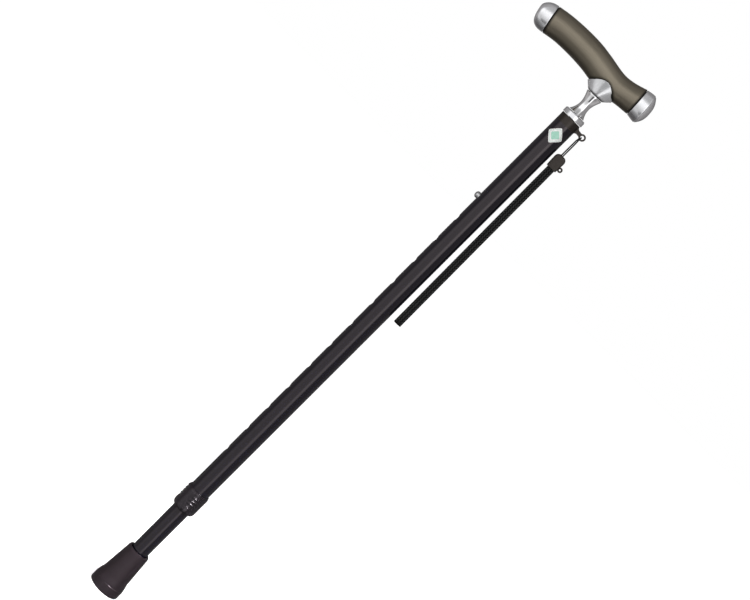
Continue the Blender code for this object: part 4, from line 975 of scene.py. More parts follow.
def pierced_tube(name, radius, bottom, top, holes):
    """A grid of bearings and heights wrapped on a cylinder, with a block of cells round each
    hole. In a block the square rings of points turn into circles towards the middle: a point
    goes from its place on the square to the hole's circle in its own direction, by how far in
    its ring lies. The cells inside the innermost ring are left out."""
    step = 2 * pi * radius / TUBE_SIDES
    half_block = HOLE_BLOCK * step
    heights = [bottom, bottom + 3 * TUBE_EDGE]
    for z in sorted(holes):
        heights += [z + k * step for k in range(-HOLE_BLOCK, HOLE_BLOCK + 1)]
    heights += [top - 3 * TUBE_EDGE, top]
    heights = np.array(heights)
    columns = np.arange(TUBE_SIDES) - TUBE_SIDES // 2
    across, up = np.meshgrid(columns * step, heights)
    inside_hole = np.zeros((len(heights) - 1, TUBE_SIDES), bool)
    cell_across = (columns + 0.5) * step
    for z in holes:
        near = np.maximum(np.abs(across), np.abs(up - z)) <= half_block * 1.001
        dx, dz = across[near], up[near] - z
        ring = np.maximum(np.abs(dx), np.abs(dz)) / step
        share = np.clip((ring - HOLE_RINGS) / (HOLE_BLOCK - HOLE_RINGS), 0, 1)
        away = np.maximum(np.hypot(dx, dz), 1e-9)
        circle_x = radius * np.arcsin(HOLE_RADIUS * dx / away / radius)
        across[near] = circle_x + (dx - circle_x) * share
        up[near] = z + HOLE_RADIUS * dz / away * (1 - share) + dz * share
        cell_up = (heights[:-1] + heights[1:]) / 2 - z
        limit = HOLE_RINGS * step
        inside_hole |= (np.abs(cell_up)[:, None] < limit) & (np.abs(cell_across)[None, :] < limit)
    bearing = across / radius
    points = np.stack([-radius * np.cos(bearing), -radius * np.sin(bearing), up], -1).reshape(-1, 3)
    index = np.arange(len(points)).reshape(-1, TUBE_SIDES)
    beside = np.roll(index, -1, axis=1)
    quads = np.stack([index[:-1], beside[:-1], beside[1:], index[1:]], -1)[~inside_hole]
    used = np.unique(quads)
    new_number = np.zeros(len(points), int)
    new_number[used] = np.arange(len(used))
    mesh = bpy.data.meshes.new(name)
    mesh.from_pydata(points[used].tolist(), [], new_number[quads].tolist())
    mesh.shade_smooth()
    return mesh


def give_wall(piece, wall, edge):
    """Thickens an open surface inwards and breaks its edges with small bevels."""
    solid = piece.modifiers.new("wall", "SOLIDIFY")
    solid.thickness = wall
    solid.offset = -1
    bevel = piece.modifiers.new("edges", "BEVEL")
    bevel.width = edge
    bevel.segments = 2
    bevel.limit_method = "ANGLE"
    bevel.angle_limit = radians(50)


def anodised_finish():
    """Black anodised tube: drawn lines along it, a faint mottle and a glossy skin."""
    material, tree, shader = finish("black_tube")
    lines = noise(tree, object_place(tree, (1, 1, 0.004)), 2600, 3, 0.6)
    mottle = noise(tree, object_place(tree), 420, 4, 0.65)
    wire(
        tree, shader,
        Base_Color=mixed(tree, mottle, TUBE_COLOUR, TUBE_MOTTLE),
        Roughness=maths(tree, "MULTIPLY_ADD", mottle, 0.06, 0.13),
        IOR=1.52,
        Specular_Tint=(*TUBE_TINT, 1),
        Normal=bumped(tree, lines, 0.000004, 0.5),
    )
    return material


def tube_piece(name, cad_node, body, wall, holes):
    """One tube as tall and as wide as its solid, with its wall inwards."""
    low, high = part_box(cad_node)
    mesh = pierced_tube(name, high.x, low.z, high.z, holes)
    piece = shown(name, mesh, ANODISED, body, cad_node)
    give_wall(piece, wall, TUBE_EDGE)


ANODISED = anodised_finish()
button_low, button_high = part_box("snap_button")
BUTTON_Z = (button_low.z + button_high.z) / 2
HOLES = [BUTTON_Z - k * HOLE_PITCH for k in range(HOLE_COUNT)]
tube_piece("upper_tube", "outer_tube", "upper_stick", UPPER_TUBE_WALL, HOLES)
tube_piece("lower_tube", "inner_tube", "lower_leg", LOWER_TUBE_WALL, [BUTTON_Z])


# Label
# A small white sticker, square with well rounded corners and turned on its corner, wrapped on
# the front of the upper tube. It carries a thin frame and a plain field in pale green.

LABEL_THICKNESS = 0.0002
LABEL_SIDES = 144
LABEL_RINGS = (16, 32)  # on its back and its face
LABEL_MIDDLE = 0.02  # share of the label's size that the innermost rings have
LABEL_CORNER_SHARE = 0.975
LABEL_CORNER_POWER = 22
LABEL_MEAN_REACH = 0.7935  # from a diamond's middle to its edge, for a half height of 1
LABEL_FRAME = (0.80, 0.86)  # shares of the label's size between which the frame lies
LABEL_FRAME_STRENGTH = 0.6
LABEL_PANEL = 0.58
LABEL_BLUR = 0.01
LABEL_WHITE = (0.84, 0.84, 0.83)
LABEL_MINT = (0.36, 0.66, 0.53)


def label():
    """Rings that are scaled copies of a diamond, bent on the tube: back, thin edge and face. At
    an angle a the diamond reaches 1 / (|cos a| + |sin a|), and a slightly smaller circle rounds
    its corners through a power mean of the two."""
    low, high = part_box("label")
    middle, half = (low.z + high.z) / 2, (high.z - low.z) / 2
    face, back = -low.y, -low.y - LABEL_THICKNESS
    angles = full_turn(LABEL_SIDES)
    diamond = 1 / (np.abs(np.cos(angles)) + np.abs(np.sin(angles)))
    power = LABEL_CORNER_POWER
    reach = half * (diamond**-power + LABEL_CORNER_SHARE**-power) ** (-1 / power)
    radius = np.repeat([back, face], LABEL_RINGS)[:, None]
    grows = np.linspace(LABEL_MIDDLE, 1.0, LABEL_RINGS[0])
    size = np.concatenate([grows, np.linspace(1.0, LABEL_MIDDLE, LABEL_RINGS[1])])[:, None]
    bearing = reach * size * np.cos(angles) / face
    height = middle + reach * size * np.sin(angles)
    return skin("label", np.stack([radius * np.sin(bearing), -radius * np.cos(bearing), height], -1))


def label_finish():
    """White foil with a thin mint frame and a plain mint diamond. The UV map's v, in metres from
    the middle of the back, tells how far in a place lies: the face runs from its rim at half of
    the whole to its middle at the end."""
    material, tree, shader = finish("white_label")
    low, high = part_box("label")
    whole = LABEL_MEAN_REACH * (high.z - low.z)
    v = node(tree, "SeparateXYZ", {0: node(tree, "TexCoord").outputs["UV"]}).outputs["Y"]
    size = maths(tree, "MULTIPLY_ADD", v, -2 / whole, 2)
    first, last = LABEL_FRAME
    frame_line = window(tree, size, (first - LABEL_BLUR, first, last, last + LABEL_BLUR))
    panel = window(tree, size, (-1, 0, LABEL_PANEL - LABEL_BLUR, LABEL_PANEL + LABEL_BLUR))
    tinted = maths(tree, "MAXIMUM", maths(tree, "MULTIPLY", frame_line, LABEL_FRAME_STRENGTH), panel)
    cloud = noise(tree, object_place(tree), 900, 2)
    wire(
        tree, shader,
        Base_Color=mixed(tree, tinted, LABEL_WHITE, LABEL_MINT),
        Roughness=ramp(tree, cloud, ((0.3, 0.28), (0.7, 0.36))),
        Coat_Weight=0.3,
        Coat_Roughness=0.15,
    )
    return material


shown("label", label(), label_finish(), "upper_stick", "label")


# Snap button
# A domed steel pin that a leaf spring pushes out through both tubes. Its flange stays inside
# the lower tube, and its tail sits in the spring's hole.

BUTTON_RADIUS = 0.0030
BUTTON_DOME = 0.0023
BUTTON_FLANGE_RADIUS = 0.0042
BUTTON_FLANGE_THICKNESS = 0.0010
BUTTON_TAIL_RADIUS = 0.0012
BUTTON_EDGE = 0.0001
BUTTON_ROOM = 0.0003
BUTTON_SIDES = 64
LOWER_TUBE_BORE = 0.0070


def button():
    """A dome of a quarter ellipse on a straight shank, then the flange, whose rim leaves room in
    the lower tube's bore, and the tail behind it."""
    low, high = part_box("snap_button")
    shank, rim, tail, edge = BUTTON_RADIUS, BUTTON_FLANGE_RADIUS, BUTTON_TAIL_RADIUS, BUTTON_EDGE
    face = -sqrt((LOWER_TUBE_BORE - BUTTON_ROOM) ** 2 - rim**2)
    back = face + BUTTON_FLANGE_THICKNESS
    turns = np.linspace(0.03, 1.0, 18) * pi / 2
    dome = [(shank * sin(t), low.x + BUTTON_DOME * (1 - cos(t))) for t in turns]
    stem = [(shank, low.x + BUTTON_DOME + 4 * edge), (shank, face - edge), (shank + edge, face)]
    plate = [(rim - edge, face), (rim, face + edge), (rim, back - edge), (rim - edge, back)]
    end = [(tail + edge, back), (tail, back + edge), (tail, high.x - 2 * edge), (tail - 2 * edge, high.x)]
    profile = np.array([*dome, *stem, *plate, *end])
    return skin("button", lying(revolved(profile[:, :1], profile[:, 1:], BUTTON_SIDES), BUTTON_Z))


shown("button", button(), STEEL, "button", "snap_button")


# Button spring
# A leaf of spring steel, folded and put in the lower tube. The front leaf pushes the button out
# and has a hole for its tail, and the back leaf leans on the far wall. It closes under the thumb.

SPRING_WIDTH = 0.0070
SPRING_THICKNESS = 0.0006
SPRING_LEAF_HALF = 0.0045  # from the button's middle up and down
SPRING_BEND_BELOW = 0.0185
SPRING_BEND_RADIUS = 0.0022
SPRING_EDGE = 0.0001
SPRING_HOLE_RADIUS = 0.0015


def carried(name, section, path, normals, sides, closed=False):
    """A section of (outwards, sideways) points carried along a path, its outward axis along the
    normals and its sideways axis along the side vectors."""
    outwards, sideways = np.asarray(section, float).T
    rings = path[:, None] + outwards[:, None] * normals[:, None] + sideways[:, None] * sides[:, None]
    return skin(name, rings, loop=closed)


def directions(path):
    """The unit tangents of a path."""
    along = np.gradient(path, axis=0)
    return along / np.linalg.norm(along, axis=1, keepdims=True)


def rounded_box(half_width, half_height, edge):
    """The outline of a bar's section, its corners rounded."""
    corners = ((1, 1), (1, -1), (-1, -1), (-1, 1))
    return rounded([(a * half_width, b * half_height, edge) for a, b in corners])


def leaf_spring():
    """A thin rounded strip carried down the front leaf, round half a circle and up the back
    leaf. A normal is the path's direction turned by a quarter in the plane of x and z."""
    low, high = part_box("button_spring")
    front = low.x + SPRING_THICKNESS / 2
    back = high.x - SPRING_THICKNESS / 2
    turns = np.linspace(pi, 2 * pi, 25)
    bend = np.column_stack([
        (front + back) / 2 + SPRING_BEND_RADIUS * np.cos(turns),
        SPRING_BEND_RADIUS * np.sin(turns) - SPRING_BEND_BELOW,
    ])
    leaf = np.linspace(SPRING_LEAF_HALF, -SPRING_LEAF_HALF, 12)
    down = np.column_stack([0 * leaf + front, leaf])
    up = [(back, -SPRING_LEAF_HALF), (back, high.z - BUTTON_Z)]
    flat = np.vstack([down, bend, up])
    path = np.column_stack([flat[:, 0], 0 * flat[:, 0], BUTTON_Z + flat[:, 1]])
    along = directions(path)
    normals = np.column_stack([-along[:, 2], 0 * along[:, 0], along[:, 0]])
    sides = np.tile([0.0, 1.0, 0.0], (len(path), 1))
    section = rounded_box(SPRING_THICKNESS / 2, SPRING_WIDTH / 2, SPRING_EDGE)
    strip = carried("leaf_spring", section, path, normals, sides)
    bar_ends = np.array([[2 * front], [0.0]])
    bar = skin("tail_bar", lying(revolved(SPRING_HOLE_RADIUS, bar_ends, 48), BUTTON_Z))
    mesh = combined("DIFFERENCE", strip, bar)
    mesh.set_sharp_from_angle(angle=radians(40))
    return mesh


spring = shown("leaf_spring", leaf_spring(), STEEL, "lower_leg", "button_spring")
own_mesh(spring)


# Lock ring
# A moulded black nut that screws on the end of the upper tube and squeezes a slit wedge ring on
# the lower one. Three sunk windows with raised ribs give the fingers a hold.

LOCK_SIDES = 360
LOCK_RING_STEP = 0.00016
LOCK_FOOT_RADIUS = 0.0089
LOCK_FOOT_ROUNDING = 0.0037
LOCK_CHAMFER = 0.0022
LOCK_LAND_RADIUS = 0.0101
LOCK_BORE = 0.0098
LOCK_BORE_FOOT = 0.0067
LOCK_CONE_RADIUS = 0.0092  # where the wedge ring's seat meets the floor
LOCK_MOUTH_RADIUS = 0.0083
LOCK_FLOOR = 0.0024
LOCK_EDGE = 0.0002
WINDOW_COUNT = 3
WINDOW_START = -95.0  # degrees, as are the next two
WINDOW_ARC = 75.0
WINDOW_FADE = 1.3
WINDOW_DEPTH = 0.0005
RIB_COUNT = 3
RIB_FIRST = 0.0100
RIB_PITCH = 0.00325
RIB_HEIGHT = 0.0013
RIB_SLOPE = 0.00045
NUT_BLACK = (0.0085, 0.0066, 0.0086)
NUT_TINT = (1.0, 0.93, 1.0)


def lock_nut():
    """The radius at each bearing and height is that of the nut's profile, less the depth of the
    window where the bearing is in one and the height is between two ribs."""
    low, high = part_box("lock_ring")
    radius = high.x
    height = high.z - low.z
    shoulder = height - LOCK_CHAMFER
    edge = LOCK_EDGE
    turns = np.linspace(0.04, 1.0, 14) * pi / 2
    swell = radius - LOCK_FOOT_RADIUS
    foot = [(LOCK_FOOT_RADIUS + swell * sin(t), LOCK_FOOT_ROUNDING * (1 - cos(t))) for t in turns]
    side_heights = np.arange(LOCK_FOOT_ROUNDING + 1.5 * edge, shoulder - edge / 2, LOCK_RING_STEP)
    side = [(radius, z) for z in side_heights]
    top = [
        (radius, shoulder),
        (radius - edge, shoulder + 2 * edge),
        (LOCK_LAND_RADIUS + edge, height - 1.5 * edge),
        (LOCK_LAND_RADIUS, height - edge / 4),
        (LOCK_LAND_RADIUS - edge / 2, height),
    ]
    bore = [
        (LOCK_BORE, height - edge),
        (LOCK_BORE, LOCK_BORE_FOOT),
        (LOCK_CONE_RADIUS, LOCK_FLOOR),
        (LOCK_MOUTH_RADIUS, LOCK_FLOOR),
        (LOCK_MOUTH_RADIUS, edge),
        (LOCK_MOUTH_RADIUS + edge, 0.0),
        (LOCK_FOOT_RADIUS - edge / 2, 0.0),
    ]
    profile = np.array([*foot, *side, *top, *bore])
    r, z = profile[:, :1], profile[:, 1:]
    bearing = np.degrees(full_turn(LOCK_SIDES)) % (360 / WINDOW_COUNT)
    fade_out = smooth_step(bearing, WINDOW_ARC - WINDOW_FADE, WINDOW_ARC)
    in_window = smooth_step(bearing, 0, WINDOW_FADE) * (1 - fade_out)
    lowest = RIB_FIRST - RIB_PITCH
    highest = RIB_FIRST + RIB_COUNT * RIB_PITCH
    fade_out = smooth_step(z, highest - RIB_SLOPE, highest)
    sunk = smooth_step(z, lowest, lowest + RIB_SLOPE) * (1 - fade_out)
    for k in range(RIB_COUNT):
        from_rib = np.abs(z - RIB_FIRST - k * RIB_PITCH)
        sunk = sunk * smooth_step(from_rib, RIB_HEIGHT / 2 - RIB_SLOPE, RIB_HEIGHT / 2 + RIB_SLOPE)
    depth = WINDOW_DEPTH * in_window * sunk
    depth[-len(bore):] = 0
    rings = revolved(r - depth, low.z + z, LOCK_SIDES, radians(WINDOW_START))
    return skin("lock_nut", rings, loop=True)


def moulded_finish(name, colour, rough, depth, tint):
    """Moulded plastic: even colour with a trace of mottle, a sparked grain, a moderate gloss."""
    material, _, _ = clouded_finish(
        name,
        (colour, tuple(c * 1.25 for c in colour)),
        rough=(rough - 0.04, rough + 0.04),
        cloud=(260, 2),
        grain=(3800, 3, 0.65),
        relief=(depth, 0.5),
        Specular_Tint=(*tint, 1),
    )
    return material


MOULDED = moulded_finish("black_plastic", NUT_BLACK, 0.20, 0.00001, NUT_TINT)
shown("lock_nut", lock_nut(), MOULDED, "lock_nut", "lock_ring")


# Rubber foot
# A moulded rubber shoe, pushed over the lower tube: a thick lip, a cone, a flare and a straight
# band over a grooved tread. The ledge between flare and band is rubbed smooth.

TIP_BORE = 0.0083
TIP_BORE_EDGE = 0.0003
TIP_MIDDLE = 0.0004  # radius of the innermost rings
TIP_LIP_HEIGHT = 0.0036
TIP_CONE_TOP_RADIUS = 0.0109
TIP_CONE_FOOT_RADIUS = 0.0129
TIP_CONE_FOOT_HEIGHT = 0.0174
TIP_BAND_HEIGHT = 0.0090
TIP_LEDGE = 0.0004
TIP_LEDGE_SLOPE = radians(48)
TIP_EDGE = 0.0012
TREAD_THICKNESS = 0.0083
TREAD_GROOVES = (0.0112, 0.0080, 0.0048)
TREAD_GROOVE_DEPTH = 0.0010
TREAD_GROOVE_WIDTH = 0.0012
TREAD_EDGE = 0.0001
RUBBER_COLOUR = (0.0078, 0.0044, 0.0062)
RUBBER_BLOOM = (0.0130, 0.0078, 0.0105)
RUBBER_TINT = (1.0, 0.86, 0.95)
WORN_SMOOTHNESS = 0.28


def rubber_foot():
    """The profile from the bore's floor over the lip and down the outside to the tread."""
    low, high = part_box("rubber_tip")
    base = high.x
    lip = high.z - TIP_LIP_HEIGHT
    lip_middle = (TIP_BORE + TIP_CONE_TOP_RADIUS) / 2
    lip_half = (TIP_CONE_TOP_RADIUS - TIP_BORE) / 2
    floor = [
        (TIP_MIDDLE, TREAD_THICKNESS),
        (TIP_BORE - TIP_BORE_EDGE, TREAD_THICKNESS),
        (TIP_BORE, TREAD_THICKNESS + TIP_BORE_EDGE),
    ]
    turns = np.linspace(0, pi, 25)
    rim = np.column_stack([lip_middle - lip_half * np.cos(turns), lip + TIP_LIP_HEIGHT * np.sin(turns)])
    share = np.linspace(0, 1, 26)[1:-1]
    widening = (TIP_CONE_FOOT_RADIUS - TIP_CONE_TOP_RADIUS) * share
    cone = np.column_stack([TIP_CONE_TOP_RADIUS + widening, lip + (TIP_CONE_FOOT_HEIGHT - lip) * share])
    share = np.linspace(0, 1, 16)
    widening = (base - TIP_LEDGE - TIP_CONE_FOOT_RADIUS) * (1 - np.cos(share * pi)) / 2
    drop = (TIP_BAND_HEIGHT - TIP_CONE_FOOT_HEIGHT) * share
    flare = np.column_stack([TIP_CONE_FOOT_RADIUS + widening, TIP_CONE_FOOT_HEIGHT + drop])
    inwards = np.linspace(0.9, 0.1, 5) * TIP_LEDGE
    drop = (TIP_LEDGE - inwards) * tan(TIP_LEDGE_SLOPE)
    ledge = np.column_stack([base - inwards, TIP_BAND_HEIGHT - drop])
    band = [(base, TIP_BAND_HEIGHT - 2 * TIP_LEDGE), (base, TIP_EDGE + TIP_LEDGE)]
    turns = np.linspace(0, pi / 2, 9)
    edge = np.column_stack([base - TIP_EDGE + TIP_EDGE * np.cos(turns), TIP_EDGE - TIP_EDGE * np.sin(turns)])
    tread = []
    for radius in TREAD_GROOVES:
        outer, inner = radius + TREAD_GROOVE_WIDTH / 2, radius - TREAD_GROOVE_WIDTH / 2
        tread += [(outer + TREAD_EDGE, 0), (outer, TREAD_EDGE), (outer, TREAD_GROOVE_DEPTH)]
        tread += [(inner, TREAD_GROOVE_DEPTH), (inner, TREAD_EDGE), (inner - TREAD_EDGE, 0)]
    tread.append((TIP_MIDDLE, 0))
    before_ledge = len(floor) + len(rim) + len(cone) + len(flare)
    after_ledge = before_ledge + len(ledge)
    profile = np.vstack([floor, rim, cone, flare, ledge, band, edge, tread])
    mesh = skin("rubber_foot", revolved(profile[:, :1], low.z + profile[:, 1:], TURNED_SIDES))
    worn = np.zeros(len(mesh.vertices))
    worn[before_ledge * TURNED_SIDES : after_ledge * TURNED_SIDES] = 1
    mark(mesh, "worn", worn)
    return mesh


def rubber_finish():
    """Matt black-brown rubber with a dusty bloom and fine pits, smoother where it is worn."""
    material, tree, shader = clouded_finish(
        "rubber",
        (RUBBER_COLOUR, RUBBER_BLOOM),
        rough=(0.52, 0.64),
        cloud=(120, 4, 0.6),
        grain=(3000, 3, 0.6),
        relief=(0.00003, 0.5),
        Specular_Tint=(*RUBBER_TINT, 1),
    )
    worn = node(tree, "Attribute", attribute_name="worn").outputs["Fac"]
    add_to(tree, shader.inputs["Roughness"], worn, -WORN_SMOOTHNESS)
    return material


shown("rubber_foot", rubber_foot(), rubber_finish(), "lower_leg", "rubber_tip")


# Strap ring
# A moulded black ring with a flat lug and an eye for the string. It turns on the spigot of the
# shaft's plug, between the tube's end and the flange.

RING_RADIUS = 0.0095
RING_BORE = 0.0072
RING_EDGE = 0.0003
RING_BORE_EDGE = 0.0002
EYE = Vector((0.0170, 0, 0.5553))
EYE_RADIUS = 0.0031
EYE_HOLE = 0.0016
EYE_SIDES = 72
LUG_THICKNESS = 0.0024
LUG_EDGE = 0.0004
LUG_ROOT_X = 0.0083
LUG_END_ROOM = 0.0003  # between its end and the eye's hole
LUG_HALF_HEIGHT = 0.0018
LUG_FLARE = 0.0014  # that it is taller at its root, up and down
LUG_FLARE_LENGTH = 0.0022
RING_BLACK = (0.0070, 0.0050, 0.0036)
RING_TINT = (1.0, 0.90, 0.84)


def ring_of_section(name, radius, hole, half_thickness, edge, sides, centre):
    """A flat ring round a hole along y, as a rounded section carried round a circle."""
    wall = (radius - hole) / 2
    angles = full_turn(sides)
    out = np.column_stack([np.cos(angles), 0 * angles, np.sin(angles)])
    across = np.tile([0.0, 1.0, 0.0], (sides, 1))
    path = centre + out * (hole + wall)
    return carried(name, rounded_box(wall, half_thickness, edge), path, out, across, closed=True)


def strap_ring():
    """The turned ring, the arm as a row of rounded sections, and the eye as a section carried
    round a circle, joined as one mesh. The arm narrows from its root by a square."""
    low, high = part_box("strap_ring")
    corners = [
        (RING_BORE, high.z, RING_BORE_EDGE),
        (RING_RADIUS, high.z, RING_EDGE),
        (RING_RADIUS, low.z, RING_EDGE),
        (RING_BORE, low.z, RING_BORE_EDGE),
    ]
    ring = turned("ring", rounded(corners))
    half = LUG_THICKNESS / 2
    eye = ring_of_section("eye", EYE_RADIUS, EYE_HOLE, half, LUG_EDGE, EYE_SIDES, np.array(EYE))
    sections = []
    middle = (low.z + high.z) / 2
    for x in np.linspace(LUG_ROOT_X, EYE.x - EYE_HOLE - LUG_END_ROOM, 24):
        share = np.clip((x - RING_RADIUS) / LUG_FLARE_LENGTH, 0, 1)
        tall = LUG_HALF_HEIGHT + LUG_FLARE * (1 - share) ** 2
        drop = (middle - EYE.z) * np.clip((x - RING_RADIUS) / (EYE.x - RING_RADIUS), 0, 1)
        across, up = rounded_box(half, tall, LUG_EDGE).T
        sections.append(np.column_stack([0 * across + x, across, middle - drop + up]))
    joined = combined("UNION", ring, skin("arm", sections), eye)
    joined.set_sharp_from_angle(angle=radians(40))
    return joined


RING_PLASTIC = moulded_finish("black_plastic_ring", RING_BLACK, 0.38, 0.00001, RING_TINT)
shown("swivel_ring", strap_ring(), RING_PLASTIC, "strap_carrier", "strap_ring")


# String and its knot
# A thin twisted black string. It goes up from a knot inside the clip, through the eye and back
# down into the knot, and so ties the strap to its ring.

STRING_RADIUS = 0.0006
STRING_SIDES = 12
STRING_TWIST = 0.0022
STRING_MEAN = 0.97
STRING_SWELL = 0.13
STRING_ROUTE_MM = (
    (-1.85, 0.0, -24.6), (-1.85, 0.0, -21.0), (-1.85, -0.2, -17.0), (-1.85, -0.5, -12.5),
    (-1.85, -1.1, -8.5), (-1.8, -2.0, -5.2), (-1.5, -2.4, -3.2), (-1.0, -2.25, -1.7),
    (-0.55, -1.4, -0.7), (-0.5, 0.0, -0.55), (-0.5, 1.4, -0.7), (-0.5, 2.25, -1.7),
    (-0.5, 2.4, -3.2), (-0.45, 2.0, -5.2), (-0.4, 1.1, -8.5), (-0.4, 0.5, -12.5),
    (-0.4, 0.2, -17.0), (-0.4, 0.0, -21.0), (-0.4, 0.0, -24.6),
)
STRANDS_MIDDLE = (STRING_ROUTE_MM[0][0] + STRING_ROUTE_MM[-1][0]) / 2000
KNOT_BELOW_EYE = 0.0264
KNOT_HALF_WIDTH = 0.0016
KNOT_COIL_RADIUS = 0.0007
KNOT_TURNS = 3
KNOT_STRAND_RADIUS = 0.00045
THREAD_BLACK = (0.006, 0.006, 0.0065)
THREAD_LIGHT = (0.016, 0.016, 0.017)


def frames_along(path):
    """At each point of a path two unit normals that turn as little as they can: the first is
    that of the point before, less its part along the new tangent."""
    tangents = directions(path)
    normal = np.cross(tangents[0], [0.0, 1.0, 0.0])
    if np.linalg.norm(normal) < 0.1:
        normal = np.cross(tangents[0], [1.0, 0.0, 0.0])
    firsts = []
    for tangent in tangents:
        normal = normal - tangent * (normal @ tangent)
        normal = normal / np.linalg.norm(normal)
        firsts.append(normal)
    firsts = np.array(firsts)
    return firsts, np.cross(tangents, firsts)


def lengths_along(path):
    """The distance from the first point to each point."""
    return np.concatenate([[0], np.cumsum(np.linalg.norm(np.diff(path, axis=0), axis=1))])


def round_cord(name, path, radius):
    """Rings round a path, of one radius or of a radius for each point and side."""
    first, second = frames_along(path)
    angles = full_turn(STRING_SIDES)[:, None]
    spokes = np.cos(angles) * first[:, None] + np.sin(angles) * second[:, None]
    return skin(name, path[:, None] + radius * spokes)


def string():
    """A tube whose radius swells twice round its section, so that two strands seem to wind round
    each other along its length s: r times the mean plus the swell times cos 2(a - 2 pi s / twist)."""
    path = smooth_curve(STRING_ROUTE_MM, 16) / 1000 + np.array(EYE)
    turn = 2 * pi * lengths_along(path)[:, None] / STRING_TWIST
    swell = STRING_MEAN + STRING_SWELL * np.cos(2 * (full_turn(STRING_SIDES) - turn))
    return round_cord("string", path, STRING_RADIUS * swell[..., None]), path


def knot():
    """The string wound three times round itself, as a screw line across the clip."""
    middle = np.array([EYE.x + STRANDS_MIDDLE, 0.0, EYE.z - KNOT_BELOW_EYE])
    t = np.linspace(0, 1, 140)
    wind = 2 * pi * KNOT_TURNS * t
    across = KNOT_HALF_WIDTH * (2 * t - 1)
    coil = np.column_stack([across, KNOT_COIL_RADIUS * np.cos(wind), KNOT_COIL_RADIUS * np.sin(wind)])
    return round_cord("knot", coil + middle, KNOT_STRAND_RADIUS)


def thread_finish(name, colour, light):
    """Twisted black polyester: fine fibres along it and a soft edge."""
    material, tree, shader = finish(name)
    place = node(tree, "TexCoord").outputs["UV"]
    stretched = node(tree, "Mapping", {"Vector": place, "Scale": (26, 2600, 1)}).outputs[0]
    fibres = noise(tree, stretched, 1.0, 3, 0.6)
    wire(
        tree, shader,
        Base_Color=mixed(tree, fibres, colour, light),
        Roughness=0.75,
        Specular_IOR_Level=0.25,
        Sheen_Weight=0.05,
        Sheen_Roughness=0.4,
        Normal=bumped(tree, fibres, 0.00004, 0.6),
    )
    return material


THREAD = thread_finish("cord", THREAD_BLACK, THREAD_LIGHT)
string_mesh, string_path = string()
string_piece = shown("string", string_mesh, THREAD, "strap", "strap_string")
knot_piece = shown("knot", knot(), THREAD, "strap", "string_knot")


# Clip
# A dark moulded shell that grips both ends of the strap, with round shoulders, a slot above for
# the string and a small eyelet at its side.

CLIP_TOP = -0.0216
CLIP_HEIGHT = 0.0138
CLIP_HALF_WIDTH = 0.0052
CLIP_HALF_DEPTH = 0.0032
CLIP_MIDDLE = -0.0004
CLIP_SHOULDER = 0.0038
CLIP_FACE_SHOULDER = 0.0011
CLIP_TAPER = 0.0004
CLIP_ROUND = 0.0005
CLIP_ROOF = 0.0032
STRAP_ROOM = (0.0042, 0.0023)
ROOM_MOUTH = (0.00015, 0.0002, 0.0003)  # that it is wider and deeper at its foot, and how far up
ROOM_CORNER = 0.0004
SLOT_HALF = (0.00165, 0.0009)
SLOT_EDGE = 0.0002
SLOT_SQUARENESS = 2.4  # powers of the superellipses, from a round slot to a square room
CLIP_TOP_SQUARENESS = 3.4
CLIP_SQUARENESS = 5.0
ROOM_SQUARENESS = 6.0
CLIP_SIDES = 96
EYELET_RADIUS = 0.0023
EYELET_HOLE = 0.0008
EYELET_THICKNESS = 0.0020
EYELET_EDGE = 0.0003
EYELET_SIDES = 48
EYELET_OUT = 0.0011
EYELET_Z = CLIP_TOP - CLIP_HEIGHT + 0.0041
CLIP_BLACK = (0.0100, 0.0074, 0.0062)
CLIP_TINT = (1.0, 0.92, 0.86)


